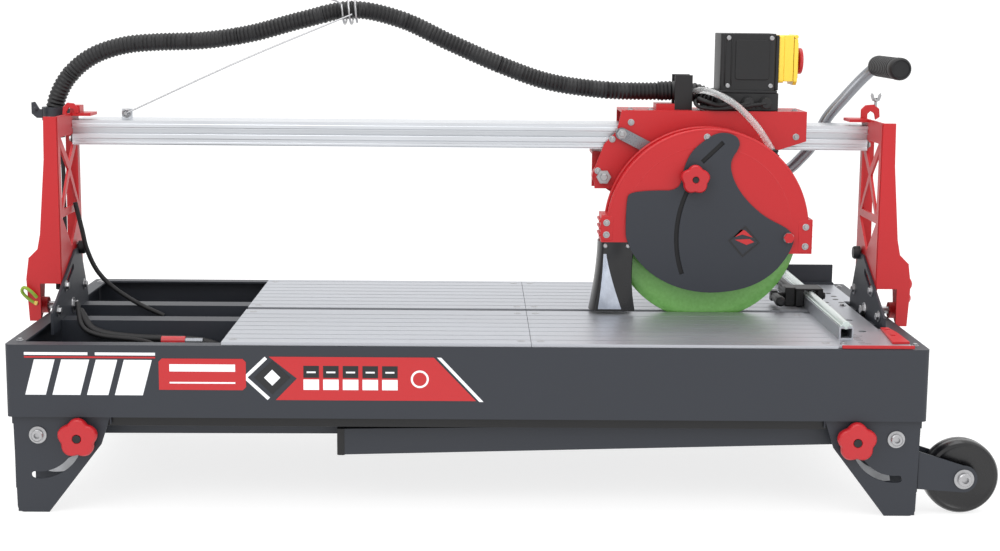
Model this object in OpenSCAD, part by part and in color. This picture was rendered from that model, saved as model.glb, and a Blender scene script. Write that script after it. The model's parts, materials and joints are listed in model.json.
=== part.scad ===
/* [Tray] */
// Length of the water tray along X
tray_l = 1130; // [1100:10:1160]
// Depth of the water tray along Y
tray_w = 505; // [490:5:520]
// Height of the tray's rim above the floor
tray_top = 212; // [208:1:214]
// Height of the tray's underside above the floor
tray_base = 122; // [118:1:126]
// Thickness of the tray's sheet steel
tray_t = 3; // [2:0.5:3]

/* [Table] */
// Thickness of the aluminium table plates
plate_t = 4; // [3:0.5:5]
// Width of the slot that the blade runs in
slot_w = 16; // [14:1:18]

/* [Bridge] */
// Height of the rail section
rail_h = 33; // [30:1:34]
// Depth of the rail section
rail_d = 72; // [68:1:74]
// Height of the rail's underside above the floor
rail_z = 433.5; // [433:0.5:436]

/* [Cutting head] */
// Radius of the diamond blade
blade_r = 125; // [115:1:125]
// Radius of the blade guard
guard_r = 132; // [130:1:133]
// Radius of the motor
motor_r = 57; // [50:1:58]

/* [Wheels and legs] */
// Radius of a transport wheel
wheel_r = 46.6; // [44:0.1:46.6]
// Length of a folding leg, from its pivot to its end
leg_l = 688; // [640:4:700]

/* [Hidden] */
$fn = 64;

eps = 0.5;                    // overreach of a cut past its face
half_l = tray_l / 2;
half_w = tray_w / 2;
lip_w = 17;                   // the tray's rim, folded inwards
lip_t = 2.5;

// Blade and table
blade_y = -18;                // the plane of the blade
blade_x = 316;
blade_z = tray_top + plate_t + blade_r - 10;
table_z = tray_top + 0.3;     // underside of the table plates
slot_front = -22;
slot_rear = slot_front + slot_w;
table_left = -302;
table_right = 452;
plate_joint = 76;
plate_front = -half_w + 2.5;
plate_back = 228;

// Bridge
pivot_z = tray_top + 8;       // axis that the bridge tilts about, at blade_y
web_x = 539.4;                // inner face of an upright's web
web_t = 3;
upright_y = 60;               // half the depth of an upright
upright_top = 476;
rail_y = 20;                  // front face of the rail
rail_top = rail_z + rail_h;
pivot_bolt_r = 5;

// Carriage and head
plate_y = 12;                 // front face of the carriage's front plate
sheet_t = 3;
box_left = 203;
box_right = 454;
box_top = 486;
back_y = rail_y + rail_d + 2; // front face of the carriage's rear plate
head_x = 180;                 // pivot that the head plunges about
head_z = 396;
guard_front = -44;
guard_back = 4;
roller_r = 8;
link_pin = [203, 455];
link_stud = [261.8, 425];       // stud on the guard that runs in the limit link's slot
cover_pin = [424, 322];       // pivot of the side cover
cover_knob_at = [296, 400];   // knob that clamps the side cover
cover_t = 2.5;
cover_front = guard_front - 0.5 - cover_t;

// Conduit, with its hinge points as (x, z) at conduit_y
conduit_y = 56;
conduit_r = 12.5;
conduit_gap = 16;
conduit_points = [[-570, 482], [-505, 565], [-380, 575], [-255, 592], [-145, 615],
    [-30, 575], [110, 522], [275, 511]];
hanger_pin = [-470, 475];
hanger_hoop = [-162, 611];
hanger_y = 38;

// Water hose, from the conduit's end to the guard
hose_r = 4.5;
hose_points = [[306, 46, 510], [313, 34, 512], [321, 20, 512], [331, 6, 509], [343, -4, 503],
    [357, -10, 493], [371, -14, 480], [384, -17, 465], [395, -19, 450], [408, -20, 435]];

// Legs and wheels
leg_pin_x = 529;
leg_pin_z = 98;
foot_y = 243;                 // inner face of a foot plate
leg_arm_y = [172, 199];       // inner faces of the left and the right leg's bars
leg_bar_w = 25;
knob_reach = 51;              // from a leg's pivot to its lock knob
wheel_x = 616.5;
wheel_y = 222;
wheel_w = 30;

// Side stop
fence_x = 462;
fence_w = 18;
fence_h = 16;
fence_front = -205;
fence_back = 220;
plate_top = table_z + plate_t;
pivot_bolt_end = 590.5;       // outer end of a tilt bolt's head
knob_front = 20.6;            // how far a leg's knob stands out from its foot plate

// The origin is at the middle of the whole machine's plan, on the floor
origin_shift = [-(wheel_x + wheel_r - pivot_bolt_end) / 2, (foot_y + knob_front - half_w) / 2, 0];
module placed() translate(origin_shift) children();

// A rod along X or Y from a point
module rod_x(p, r, l) translate(p) rotate([0, 90, 0]) cylinder(r = r, h = l);
module rod_y(p, r, l) translate(p) rotate([-90, 0, 0]) cylinder(r = r, h = l);

// A flat outline in X and Z, made thick along +Y from y
module slab_y(y, t) translate([0, y + t, 0]) rotate([90, 0, 0]) linear_extrude(t) children();

// A flat outline in Y and Z, made thick along +X from x
module slab_x(x, t) translate([x, 0, 0]) rotate([90, 0, 90]) linear_extrude(t) children();

// A box given by its two corners
module block(a, b) translate(a) cube(b - a);

// A copy on the other side of X = 0
module left_side() mirror([1, 0, 0]) children();

// A hexagon head along X or Y
module hex_x(p, r, l) translate(p) rotate([0, 90, 0]) cylinder(r = r, h = l, $fn = 6);
module hex_y(p, r, l) translate(p) rotate([-90, 0, 0]) cylinder(r = r, h = l, $fn = 6);

module rounded(l, w, r) {
    square([l - 2 * r, w], center = true);
    square([l, w - 2 * r], center = true);
    for (sx = [-1, 1], sy = [-1, 1])
        translate([sx * (l / 2 - r), sy * (w / 2 - r)]) circle(r);
}

// Pressed tray with a folded rim
module tray() color("dimgray") difference() {
    translate([0, 0, tray_base]) linear_extrude(tray_top - tray_base) rounded(tray_l, tray_w, 7);
    translate([0, 0, tray_base + tray_t]) linear_extrude(tray_top - tray_base - tray_t - lip_t)
        rounded(tray_l - 2 * tray_t, tray_w - 2 * tray_t, 4);
    translate([0, 0, tray_top - lip_t - eps]) linear_extrude(lip_t + 2 * eps)
        rounded(tray_l - 2 * tray_t - 2 * lip_w, tray_w - 2 * tray_t - 2 * lip_w, 4);
    rod_x([half_l - tray_t - eps, 180, tray_base + 14], 10, tray_t + 2 * eps);
}

// Folded channel: a square tube without its underside
module channel_x(a, b, t) difference() {
    block(a, b);
    block([a[0] - eps, a[1] + t, a[2] - eps], [b[0] + eps, b[1] - t, b[2] - t]);
}

// Two rails that carry the table and leave room for the blade, on three cross members
module table_beams() color("dimgray") {
    beam_l = 535.7;
    for (y = [-88, 26]) channel_x([-beam_l, y, 176], [beam_l, y + 32, tray_top], 2.5);
    for (x = [-468, 0, 468])
        block([x - 12, -half_w + tray_t, 156], [x + 12, half_w - tray_t, 176]);
}

// Table plate with grooves along its length
module table_plate(x0, x1, y0, y1) color("silver") difference() {
    block([x0, y0, table_z], [x1, y1, plate_top]);
    for (y = [y0 + 24 : 28 : y1 - 10])
        block([x0 - eps, y, plate_top - 0.8], [x1 + eps, y + 2, plate_top + eps]);
}
module table_plate_front_left() table_plate(table_left, plate_joint - 0.3, plate_front, slot_front);
module table_plate_front_right() table_plate(plate_joint + 0.3, table_right, plate_front, slot_front);
module table_plate_rear_left() table_plate(table_left, plate_joint - 0.3, slot_rear, plate_back);
module table_plate_rear_right() table_plate(plate_joint + 0.3, table_right, slot_rear, plate_back);

// Fixed plate at the right, with the measuring scale and slots for the fence
module scale_plate() color("lightgray") difference() {
    block([table_right + 0.6, plate_front + 4, table_z], [544, plate_back + 14, plate_top - 1]);
    slot = [490, 60];
    for (y = [-150, -70, 120]) translate([slot[0] + 14, y, table_z - eps]) cylinder(r = 5, h = 5);
    block([slot[0], slot[1], table_z - eps], [slot[0] + 8, slot[1] + 90, plate_top]);
    block([table_right - 1, slot_front, table_z - eps], [table_right + 24, slot_rear, plate_top]);
    block([528, -132, table_z - eps], [545, 76, plate_top]);
}

// Upright plate that a tile rests against at the back
module rear_stop_plate() color("darkslategray") {
    block([458, 232, plate_top - 1], [544, 236, 244]);
    block([458, 222, plate_top - 1], [544, 232, plate_top + 2]);
}

// Hollow extrusion that the side stop slides on
module fence_profile() color("lightgray") difference() {
    block([fence_x, fence_front, plate_top - 1], [fence_x + fence_w, fence_back, plate_top - 1 + fence_h]);
    block([fence_x + 2, fence_front - eps, plate_top + 1],
        [fence_x + fence_w - 2, fence_back + eps, plate_top - 3 + fence_h]);
    block([fence_x + 7, fence_front - eps, plate_top - 4 + fence_h],
        [fence_x + 11, fence_back + eps, plate_top + fence_h]);
}

// Outline of a foot plate on the left, in X and Z
module foot_outline() difference() {
    union() {
        polygon([[-559, tray_base - 0.3], [-557, 8], [-549, 0], [-518, 0], [-452, 86],
            [-440, tray_base - 0.3]]);
        translate([-549, 8]) circle(8);
    }
    arc_slot([-leg_pin_x, leg_pin_z], knob_reach, 4.4, -96, 2);
    translate([-leg_pin_x, leg_pin_z]) circle(5.06);
}

// Curved slot about a centre, from one angle to another
module arc_slot(c, r, w, a0, a1) translate(c) {
    steps = 24;
    inner = [for (i = [0:steps]) (r - w) * [cos(a0 + (a1 - a0) * i / steps), sin(a0 + (a1 - a0) * i / steps)]];
    outer = [for (i = [steps:-1:0]) (r + w) * [cos(a0 + (a1 - a0) * i / steps), sin(a0 + (a1 - a0) * i / steps)]];
    polygon(concat(inner, outer));
    for (a = [a0, a1]) rotate(a) translate([r, 0]) circle(w);
}

// Slot with round ends from a to b
module straight_slot(a, b, w) {
    d = b - a;
    translate(a) rotate(atan2(d[1], d[0])) translate([0, -w + 0.05]) square([norm(d), 2 * w - 0.1]);
    for (p = [a, b]) translate(p) circle(w);
}

// Left foot frame: two foot plates on an end plate, with turned-in soles
module foot_frame_left() color("dimgray") {
    for (s = [-1, 1]) {
        slab_y(s > 0 ? foot_y : -foot_y - 3, 3) foot_outline();
        block([-557, s > 0 ? foot_y - 16 : -foot_y, 0], [-546, s > 0 ? foot_y : -foot_y + 16, 3]);
    }
    difference() {
        block([-559, -foot_y, 30], [-556, foot_y, tray_base - 0.3]);
        block([-560, -180, 20], [-555, 180, 84]);
    }
}

// Right foot frame: the same, with forks for the wheels
module foot_frame_right() color("dimgray") {
    left_side() foot_frame_left();
    for (s = [-1, 1], y = [wheel_y + 19, wheel_y - 22]) difference() {
        slab_y(s > 0 ? y : -y - 3, 3) {
            polygon([[559, 34], [616, 30], [616, 64], [559, 82]]);
            translate([wheel_x, 47]) circle(17);
        }
        rod_y([wheel_x, s > 0 ? y - eps : -y - 4, 47], 6.06, 5);
    }
}

// Bolts that the legs and the wheels turn on
module shoulder_bolts() color("gainsboro") {
    for (sx = [-1, 1], sy = [-1, 1]) {
        inner = leg_arm_y[(sx + 1) / 2] - 3;
        y0 = sy > 0 ? inner : -foot_y - 3.5;
        rod_y([sx * leg_pin_x, y0, leg_pin_z], 5, foot_y + 3.5 - inner);
        hex_y([sx * leg_pin_x, sy > 0 ? foot_y + 3.4 : -foot_y - 9.4, leg_pin_z], 9, 6);
        hex_y([sx * leg_pin_x, sy > 0 ? inner - 6 : -inner, leg_pin_z], 9, 6);
    }
    for (sy = [-1, 1]) {
        rod_y([wheel_x, sy > 0 ? wheel_y - 25 : -wheel_y - 25, 47], 6, 50);
        hex_y([wheel_x, sy > 0 ? wheel_y + 22.1 : -wheel_y - 28.1, 47], 10, 6);
        hex_y([wheel_x, sy > 0 ? wheel_y - 28.1 : -wheel_y + 22.1, 47], 10, 6);
    }
}

// Bracket that the bridge leans on and tilts about
module tilt_bracket_right() color("darkslategray") slab_x(536, 3) difference() {
    polygon([[-128, 200], [72, 200], [72, 222], [34, 292], [6, 292], [-128, 228]]);
    translate([blade_y, pivot_z]) circle(pivot_bolt_r + 0.06);
    straight_slot([-12, 271], [-54, 252], 4.5);
}
module tilt_bracket_left() left_side() tilt_bracket_right();

module tilt_pivot_bolts() color("gainsboro") for (s = [-1, 1]) {
    rod_x([s > 0 ? 535.6 : -584.5, blade_y, pivot_z], pivot_bolt_r, 48.9);
    hex_x([s > 0 ? 529.6 : -536, blade_y, pivot_z], 8.5, 6.4);
    hex_x([s > 0 ? 584.1 : -590.5, blade_y, pivot_z], 8.5, 6.4);
}

// Submersible pump on the tray's floor
module water_pump() color("firebrick") {
    translate([-400, -165, tray_base + tray_t]) {
        cylinder(r = 26, h = 44);
        translate([0, 0, 44]) cylinder(r = 20, h = 12);
        rod_x([20, 0, 30], 12, 40);
    }
}

// Openings that make a truss of an upright's web, in Y and Z
module truss_openings() {
    polygon([[-44, 448], [44, 448], [0, 412]]);
    polygon([[-48, 436], [-48, 352], [-6, 402]]);
    polygon([[48, 436], [48, 352], [6, 402]]);
    polygon([[-38, 352], [38, 352], [0, 394]]);
    polygon([[-48, 342], [48, 342], [0, 298]]);
}

// Outline of an upright's front flange, in X and Z
module flange_outline() polygon([[web_x + 1, 256], [568, 256], [568, 206], [583, 206], [586, 262], [582, 290],
    [570, 302], [566, 322], [558, 420], [557, upright_top], [web_x + 1, upright_top]]);

// Right upright: truss web with flanges and an outer cheek
module upright_right() color("firebrick") {
    slab_x(web_x, web_t) difference() {
        union() {
            polygon([[-60, 256], [-60, upright_top], [60, upright_top], [60, 262], [2, 216], [-38, 216]]);
            translate([blade_y, pivot_z]) circle(20);
        }
        truss_openings();
        translate([blade_y, pivot_z]) circle(pivot_bolt_r + 0.06);
    }
    slab_y(-upright_y - 3, 3) flange_outline();
    slab_y(upright_y, 3) polygon([[web_x + 1, 264], [560, 264], [558, 458], [web_x + 1, 458]]);
    difference() {
        union() {
            slab_x(580, 3) {
                polygon([[-60, 206], [0, 206], [14, 262], [4, 290], [-60, 290]]);
                translate([blade_y, pivot_z]) circle(20);
            }
            rod_x([568.4, blade_y, pivot_z], 11, 13);
        }
        rod_x([560, blade_y, pivot_z], pivot_bolt_r + 0.06, 30);
    }
    block([514, 20, upright_top - 4], [web_x + 1, 60, upright_top]);
}
module upright_left() {
    left_side() upright_right();
    color("firebrick") block([-web_x - web_t, 24, upright_top - 1], [-529, 46, 486]);
}

// Section of the rail in Y and Z, with roller grooves and two cells
module rail_section() difference() {
    translate([rail_y, rail_z]) square([rail_d, rail_h]);
    for (y = [rail_y - 1, rail_y + rail_d - 5]) translate([y, rail_z + 15]) square([6, 7]);
    for (y = [rail_y + 8, rail_y + rail_d / 2 + 2]) translate([y, rail_z + 4])
        square([rail_d / 2 - 10, rail_h - 8]);
}
module rail() color("silver") {
    slab_x(-web_x, 2 * web_x) rail_section();
    difference() {
        block([hanger_pin[0] - 7, 44, rail_top - eps], [hanger_pin[0] + 7, 50, hanger_pin[1] + 6]);
        rod_y([hanger_pin[0], 43, hanger_pin[1]], 2.56, 8);
    }
}

// Ring that holds the conduit's lower end, with an ear to the upright
module conduit_clamp_left() color("dimgray") difference() {
    union() {
        translate([-570, conduit_y, 464]) cylinder(r = 18, h = 18);
        block([-560, conduit_y - 8, 466], [-web_x - web_t, conduit_y + 4, 480]);
    }
    translate([-570, conduit_y, 460]) cylinder(r = 13, h = 30);
}

// Spring-wire arm beside the conduit, with a pivot pin at its lower end
module wire_hanger() color("gainsboro") {
    d = hanger_hoop - hanger_pin;
    translate([hanger_pin[0], hanger_y, hanger_pin[1]]) {
        rotate([0, -atan2(d[1], d[0]), 0]) rod_x([0, 0, 0], 1.5, norm(d));
        rod_y([0, -3, 0], 2.5, 18);
    }
}

// One straight stretch of the conduit between two hinge points
module conduit_link(i) color("black") {
    a = conduit_points[i - 1];
    b = conduit_points[i];
    d = b - a;
    gap_a = conduit_gap;
    gap_b = i == 7 ? 24 : conduit_gap;
    translate([a[0], conduit_y, a[1]]) rotate([0, 90 - atan2(d[1], d[0]), 0])
        translate([0, 0, gap_a]) cylinder(r = conduit_r, h = norm(d) - gap_a - gap_b);
}

// Outline of the carriage's front plate, in X and Z
module carriage_outline() polygon([[box_left, box_top], [box_right, box_top], [box_right, 446], [414, 433],
    [244, 433], [212, 380], [168, 380], [168, 408], [180, 440], [197, 458]]);

module carriage_front_plate() color("firebrick") difference() {
    slab_y(plate_y, sheet_t) carriage_outline();
    rod_y([head_x, plate_y - eps, head_z], 6.06, sheet_t + 2 * eps);
    rod_y([link_pin[0], plate_y - eps, link_pin[1]], 4.06, sheet_t + 2 * eps);
}

// Carriage: top and rear plates folded from one sheet, with an ear for the head's pivot
module carriage_body() color("firebrick") {
    difference() {
        union() {
            block([box_left, plate_y + sheet_t, box_top - 3], [box_right, back_y + 3, box_top]);
            block([box_left, back_y, 430], [box_right, back_y + 3, box_top]);
            slab_y(42, 4) polygon([[166, 380], [200, 380], [200, 428], [166, 428]]);
            block([166, 42, 424], [200, back_y + 3, 428]);
            block([196, back_y, 424], [box_left + 8, back_y + 3, 450]);
        }
        rod_y([head_x, 41, head_z], 6.06, 6);
        for (x = [232, 425]) rod_y([x, back_y - eps, rail_top + 0.3 + roller_r], 3.06, 4);
    }
    block([252, 36, box_top], [277, 76, box_top + 8]);
}

// Pivot pin of the head, bolt of the limit link and axles of the rollers
module carriage_bolts() color("gainsboro") {
    rod_y([head_x, plate_y - 0.5, head_z], 6, 47 - plate_y);
    hex_y([head_x, plate_y - 6, head_z], 10, 6);
    hex_y([head_x, 46, head_z], 10, 6);
    rod_y([link_pin[0], 4, link_pin[1]], 4, 14);
    hex_y([link_pin[0], -1, link_pin[1]], 7, 5.2);
    for (x = [232, 425]) rod_y([x, plate_y + sheet_t, rail_top + 0.3 + roller_r], 3, back_y + 4.5 - plate_y - sheet_t);
}

// Grooved roller that runs on the rail
module roller(x) color("gray") translate([x, 0, rail_top + 0.3 + roller_r]) difference() {
    rod_y([0, rail_y + 4, 0], roller_r, rail_d - 8);
    rod_y([0, rail_y + 3, 0], 3.06, rail_d);
}
module roller_left() roller(232);
module roller_right() roller(425);

// Base of the switch box, with three cable glands along its front
module switch_base() color("black") {
    block([332, 18, box_top], [416, 88, 510]);
    for (x = [350, 374, 398]) rod_y([x, 8, 497], 7, 10.5);
}

// Switch box and the switch's yellow housing
module switch_box() color("dimgray") {
    block([336, 20, 510], [411, 86, 590]);
    block([411, 22, 512], [416, 84, 588]);
    difference() {
        block([416, 26, 524], [436, 80, 588]);
        rod_x([420, 53, 553], 13.4, 20);
    }
}

// Flap that covers the switch, hinged at its top
module switch_cover() color("gold") difference() {
    union() {
        block([436.4, 27, 526], [442, 79, 586]);
        rod_y([439.2, 27, 586], 2.8, 52);
    }
    rod_x([430, 53, 553], 9.06, 20);
}

// Red stop button
module stop_button() color("firebrick") {
    rod_x([430, 53, 553], 9, 16);
    rod_x([445.4, 53, 553], 18, 6.6);
}

// Open saddle on the carriage that the conduit's end slides in
module conduit_clamp_right() color("black") difference() {
    block([277, 36, box_top], [301, 76, 533]);
    block([270, conduit_y - 15, 494], [310, conduit_y + 15, 540]);
}

// Slotted link that limits how far the head rises
module limit_link() color("gray") difference() {
    slab_y(6, 4) translate([link_pin[0], link_pin[1]]) rotate(-27) difference() {
        union() {
            translate([0, -8]) square([74, 16]);
            circle(8);
            translate([74, 0]) circle(8);
        }
        circle(4.08);
        translate([46, -3.6]) square([24, 7.2]);
        for (x = [46, 70]) translate([x, 0]) circle(3.6);
    }
}

// Arm from the head's pivot to the motor
module head_arm() color("firebrick") difference() {
    union() {
        slab_y(18, 20) polygon([[172, 384], [172, 408], [188, 411], [290, 388], [270, 320], [180, 382]]);
        rod_y([head_x, 18, head_z], 15, 20);
    }
    rod_y([head_x, 17, head_z], 6.06, 22);
    rod_y([blade_x, 17, blade_z], motor_r + 0.2, 22);
}

// Motor casing with its flange, and a terminal box on its back
module motor_body() color("dimgray") difference() {
    union() {
        rod_y([blade_x, guard_back + 4.2, blade_z], motor_r - 6, 12);
        rod_y([blade_x, 18, blade_z], motor_r, 92);
    }
    rod_y([blade_x, 0, blade_z], 10.08, 62);
}

// Ventilated cover on the motor's back end
module motor_cover() color("black") difference() {
    rod_y([blade_x, 110.3, blade_z], motor_r + 2, 34);
    rod_y([blade_x, 109, blade_z], motor_r - 1, 32);
    for (a = [0:30:330]) translate([blade_x, 140, blade_z]) rotate([0, a, 0])
        block([16, 0, -3], [44, 8, 3]);
}

// Outline of the guard, in X and Z
module guard_outline(r) {
    intersection() {
        translate([blade_x, blade_z]) circle(r, $fn = 96);
        polygon([[116, 314], [300, 314], [316, 300], [520, 300], [520, 500], [116, 500]]);
    }
}

// Blade guard: front and rear walls with a rim between them
module guard_shell() color("firebrick") difference() {
    union() {
        slab_y(guard_front, guard_back - guard_front) guard_outline(guard_r);
        block([174, guard_front, 314], [190, guard_back, 350]);
        block([438, guard_front, 300], [456, guard_back, 346]);
        rod_y([blade_x, guard_back - eps, blade_z], 34, 4 + eps);
        rod_y([link_stud[0], guard_back - 1, link_stud[1]], 2.5, 8);
        rod_y([cover_pin[0], cover_front - 1, cover_pin[1]], 4, 5);
        hex_y([cover_pin[0], cover_front - 5.4, cover_pin[1]], 7, 5);
    }
    slab_y(guard_front + 3, guard_back - guard_front - 6) guard_outline(guard_r - 3);
    rod_y([blade_x, guard_back - 8, blade_z], 24, 20);
    rod_y([cover_knob_at[0], guard_front - eps, cover_knob_at[1]], 4.06, 4);
}

// Handle: a bent tube behind the rail that carries the grip
module handle_tube() color("gray") difference() {
    union() {
        seg_y([372, 362], [481, 433], 108, 8);
        seg_y([481, 433], [500, 472], 108, 8);
        seg_y([500, 472], [566, 546], 108, 8);
        for (p = [[481, 433], [500, 472], [566, 546]]) translate([p[0], 108, p[1]]) sphere(8);
        rod_y([566, 60, 546], 8, 48);
        block([352, 100, 350], [376, 116, 374]);
    }
    rod_y([blade_x, 90, blade_z], motor_r + 0.2, 20.2);
    rod_y([blade_x, 110.2, blade_z], motor_r + 2.2, 30);
}

// A straight tube between two points in X and Z, at one y
module seg_y(a, b, y, r) translate([a[0], y, a[1]]) rotate([0, 90 - atan2(b[1] - a[1], b[0] - a[0]), 0])
    cylinder(r = r, h = norm(b - a));

module handle_grip() color("black") difference() {
    union() {
        rod_y([566, -34, 546], 15, 128);
        rod_y([566, -40, 546], 13, 6.5);
    }
    rod_y([566, 59.8, 546], 8.06, 40);
}

// Rubber skirt in front of the blade, open underneath
module splash_flap() color("black") difference() {
    slab_y(guard_front, guard_back - guard_front)
        polygon([[160, 220], [226, 220], [220, 313.5], [171, 313.5]]);
    slab_y(guard_front + 3, guard_back - guard_front - 6)
        polygon([[164, 216], [230, 216], [226, 320], [187, 320], [175, 304]]);
}

// Clear hose that brings water to the guard
function hose_ring(i) = let(p = hose_points, n = len(p) - 1,
    t = (p[min(i + 1, n)] - p[max(i - 1, 0)]), u = t / norm(t),
    v = cross(u, [0, 0, 1]) / norm(cross(u, [0, 0, 1])), w = cross(v, u))
    [for (k = [0:7]) p[i] + hose_r * (v * cos(45 * k) + w * sin(45 * k))];
module water_hose() color("gainsboro") {
    n = len(hose_points);
    rings = [for (i = [0:n - 1]) each hose_ring(i)];
    sides = [for (i = [0:n - 2], k = [0:7])
        [8 * i + k, 8 * i + (k + 1) % 8, 8 * i + 8 + (k + 1) % 8, 8 * i + 8 + k]];
    caps = [[for (k = [7:-1:0]) k], [for (k = [0:7]) 8 * (n - 1) + k]];
    polyhedron(rings, concat(sides, caps), convexity = 4);
}

// Shaft from the motor to the blade
module spindle() color("gray") {
    rod_y([blade_x, -34, blade_z], 12.6, 17.2 - 2.4);
    rod_y([blade_x, -19.2, blade_z], 12.6, 3);
    rod_y([blade_x, -16.6, blade_z], 30, 4);
    rod_y([blade_x, -13, blade_z], 10, 70);
}

// Diamond blade with a continuous rim
module blade() color("green") difference() {
    union() {
        rod_y([blade_x, blade_y - 0.9, blade_z], blade_r - 10, 1.8, $fn = 96);
        difference() {
            rod_y([blade_x, blade_y - 1.2, blade_z], blade_r, 2.4, $fn = 96);
            rod_y([blade_x, blade_y - 2, blade_z], blade_r - 11, 4, $fn = 96);
        }
    }
    rod_y([blade_x, blade_y - 3, blade_z], 12.7, 6);
}

// Outer flange and nut
module arbor_nut() color("gray") difference() {
    union() {
        rod_y([blade_x, -23.4, blade_z], 30, 4);
        hex_y([blade_x, -32, blade_z], 18, 9);
    }
    rod_y([blade_x, -40, blade_z], 12.7, 30);
}

// Outline of the side cover, in X and Z
module cover_outline() {
    polygon([[209, 325], [208, 370], [218, 381], [237, 384], [277, 383], [271, 419], [282, 437], [302, 441],
        [326, 462], [342, 458], [348, 446], [345, 412], [364, 366], [391, 350], [427, 334], [433, 312],
        [428, 298], [398, 276], [370, 290], [262, 290], [238, 276], [215, 300]]);
}

// Swinging cover over the blade's open side
module side_cover() color("darkslategray") difference() {
    union() {
        slab_y(cover_front, cover_t) cover_outline();
        rod_y([blade_x, cover_front, blade_z - 2.5], 84, cover_t);
    }
    slab_y(cover_front - eps, cover_t + 2 * eps) {
        arc_slot(cover_pin, norm(cover_knob_at - cover_pin), 4.4, 148.6, 199.5);
        translate(cover_pin) circle(4.06);
        translate([306, 422]) rotate(44) translate([0, -3]) square([38, 6]);
    }
}

// Stud and five-lobed knob that clamp the cover
module cover_knob() color("firebrick") knob(cover_knob_at, cover_front - 0.4, 19.5, guard_front + 4.5);

// Five-lobed knob in front of y, with a stud back to the given depth
module knob(p, y, r, back) {
    rod_y([p[0], y - 3, p[1]], 4, back - y + 3);
    slab_y(y - 17, 14) translate(p) {
        circle(r * 0.72);
        for (a = [90:72:449]) rotate(a) translate([r * 0.72, 0]) circle(r * 0.3);
    }
    rod_y([p[0], y - 3.4, p[1]], 9, 3.4);
}

// Leg: two bars joined by a cross tube. dir is +1 where it points to +X when folded
module leg(dir, y, drop, h) {
    pin = [-dir * leg_pin_x, leg_pin_z];
    end = pin[0] + dir * leg_l;
    wall = 2;
    for (s = [-1, 1]) {
        y0 = s > 0 ? y : -y - leg_bar_w;
        difference() {
            slab_y(y0, leg_bar_w) polygon([[pin[0] - dir * 14, pin[1] + 14], [pin[0] - dir * 14, pin[1] - 10],
                [end, pin[1] - drop], [end, pin[1] - drop + h], [pin[0] + dir * 40, pin[1] + 14]]);
            slab_y(y0 + wall, leg_bar_w - 2 * wall) polygon([[pin[0] + dir * 12, pin[1] + 14 - wall],
                [pin[0] + dir * 12, pin[1] - 10 + wall], [end - dir * wall, pin[1] - drop + wall],
                [end - dir * wall, pin[1] - drop + h - wall], [pin[0] + dir * 40, pin[1] + 14 - wall]]);
            rod_y([pin[0], y0 - eps, pin[1]], 5.06, leg_bar_w + 2 * eps);
        }
    }
    rod_y([pin[0] + dir * 150, -y - eps, pin[1] - 2], 9, 2 * y + 2 * eps);
}
module leg_left() color("dimgray") leg(1, leg_arm_y[0], 8, 24);
module leg_right() color("dimgray") leg(-1, leg_arm_y[1], 29, 33);

// Lock knob of a leg, whose stud runs in the foot plate's curved slot
module leg_knob_left() color("firebrick") leg_knob(-1, leg_arm_y[0]);
module leg_knob_right() color("firebrick") leg_knob(1, leg_arm_y[1]);
module leg_knob(side, y) knob([side * (leg_pin_x - knob_reach), leg_pin_z - 1], -foot_y - 3.6, 24, -y - leg_bar_w - 0.3);

// Wheel with a tyre and a hub
module wheel(y) color("black") difference() {
    union() {
        rod_y([wheel_x, y - wheel_w / 2, 47], wheel_r, wheel_w);
        rod_y([wheel_x, y - 18, 47], 14, 36);
    }
    for (s = [-1, 1]) difference() {
        rod_y([wheel_x, s > 0 ? y + 9 : y - wheel_w / 2 - eps, 47], 36, 6 + eps);
        rod_y([wheel_x, y - 20, 47], 14, 40);
    }
    rod_y([wheel_x, y - 20, 47], 6.06, 40);
}
module wheel_front() wheel(-wheel_y);
module wheel_rear() wheel(wheel_y);

// Stop that slides along the fence, and its clamping lever
module side_stop() color("black") difference() {
    union() {
        block([fence_x - 12, 24, plate_top + 0.4], [fence_x + fence_w + 8, 62, plate_top + fence_h + 8]);
        block([fence_x - 26, 28, plate_top + 0.4], [fence_x - 11, 58, plate_top + 26]);
        block([fence_x - 14, 62, plate_top + 0.4], [fence_x - 8, 150, plate_top + 22]);
    }
    block([fence_x - 0.3, 20, plate_top - 4], [fence_x + fence_w + 0.3, 70, plate_top + fence_h - 0.7]);
    rod_x([fence_x - 30, 43, plate_top + 13], 4.06, 20);
}
module stop_lever() color("black") {
    rod_x([fence_x - 36, 43, plate_top + 13], 4, 22);
    block([fence_x - 44, 36, plate_top + 6], [fence_x - 35, 50, plate_top + 20]);
    block([fence_x - 43, -12, plate_top + 8], [fence_x - 36, 36.5, plate_top + 18]);
}

placed() tray();
placed() table_beams();
placed() table_plate_front_left();
placed() table_plate_front_right();
placed() table_plate_rear_left();
placed() table_plate_rear_right();
placed() scale_plate();
placed() rear_stop_plate();
placed() fence_profile();
placed() foot_frame_left();
placed() foot_frame_right();
placed() shoulder_bolts();
placed() tilt_bracket_left();
placed() tilt_bracket_right();
placed() tilt_pivot_bolts();
placed() water_pump();
placed() upright_left();
placed() upright_right();
placed() rail();
placed() conduit_clamp_left();
placed() wire_hanger();
for (i = [1:7]) placed() conduit_link(i);
placed() carriage_front_plate();
placed() carriage_body();
placed() carriage_bolts();
placed() roller_left();
placed() roller_right();
placed() switch_base();
placed() switch_box();
placed() switch_cover();
placed() stop_button();
placed() conduit_clamp_right();
placed() limit_link();
placed() head_arm();
placed() motor_body();
placed() motor_cover();
placed() guard_shell();
placed() handle_tube();
placed() handle_grip();
placed() splash_flap();
placed() water_hose();
placed() spindle();
placed() blade();
placed() arbor_nut();
placed() side_cover();
placed() cover_knob();
placed() leg_left();
placed() leg_right();
placed() leg_knob_left();
placed() leg_knob_right();
placed() wheel_front();
placed() wheel_rear();
placed() side_stop();
placed() stop_lever();
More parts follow.
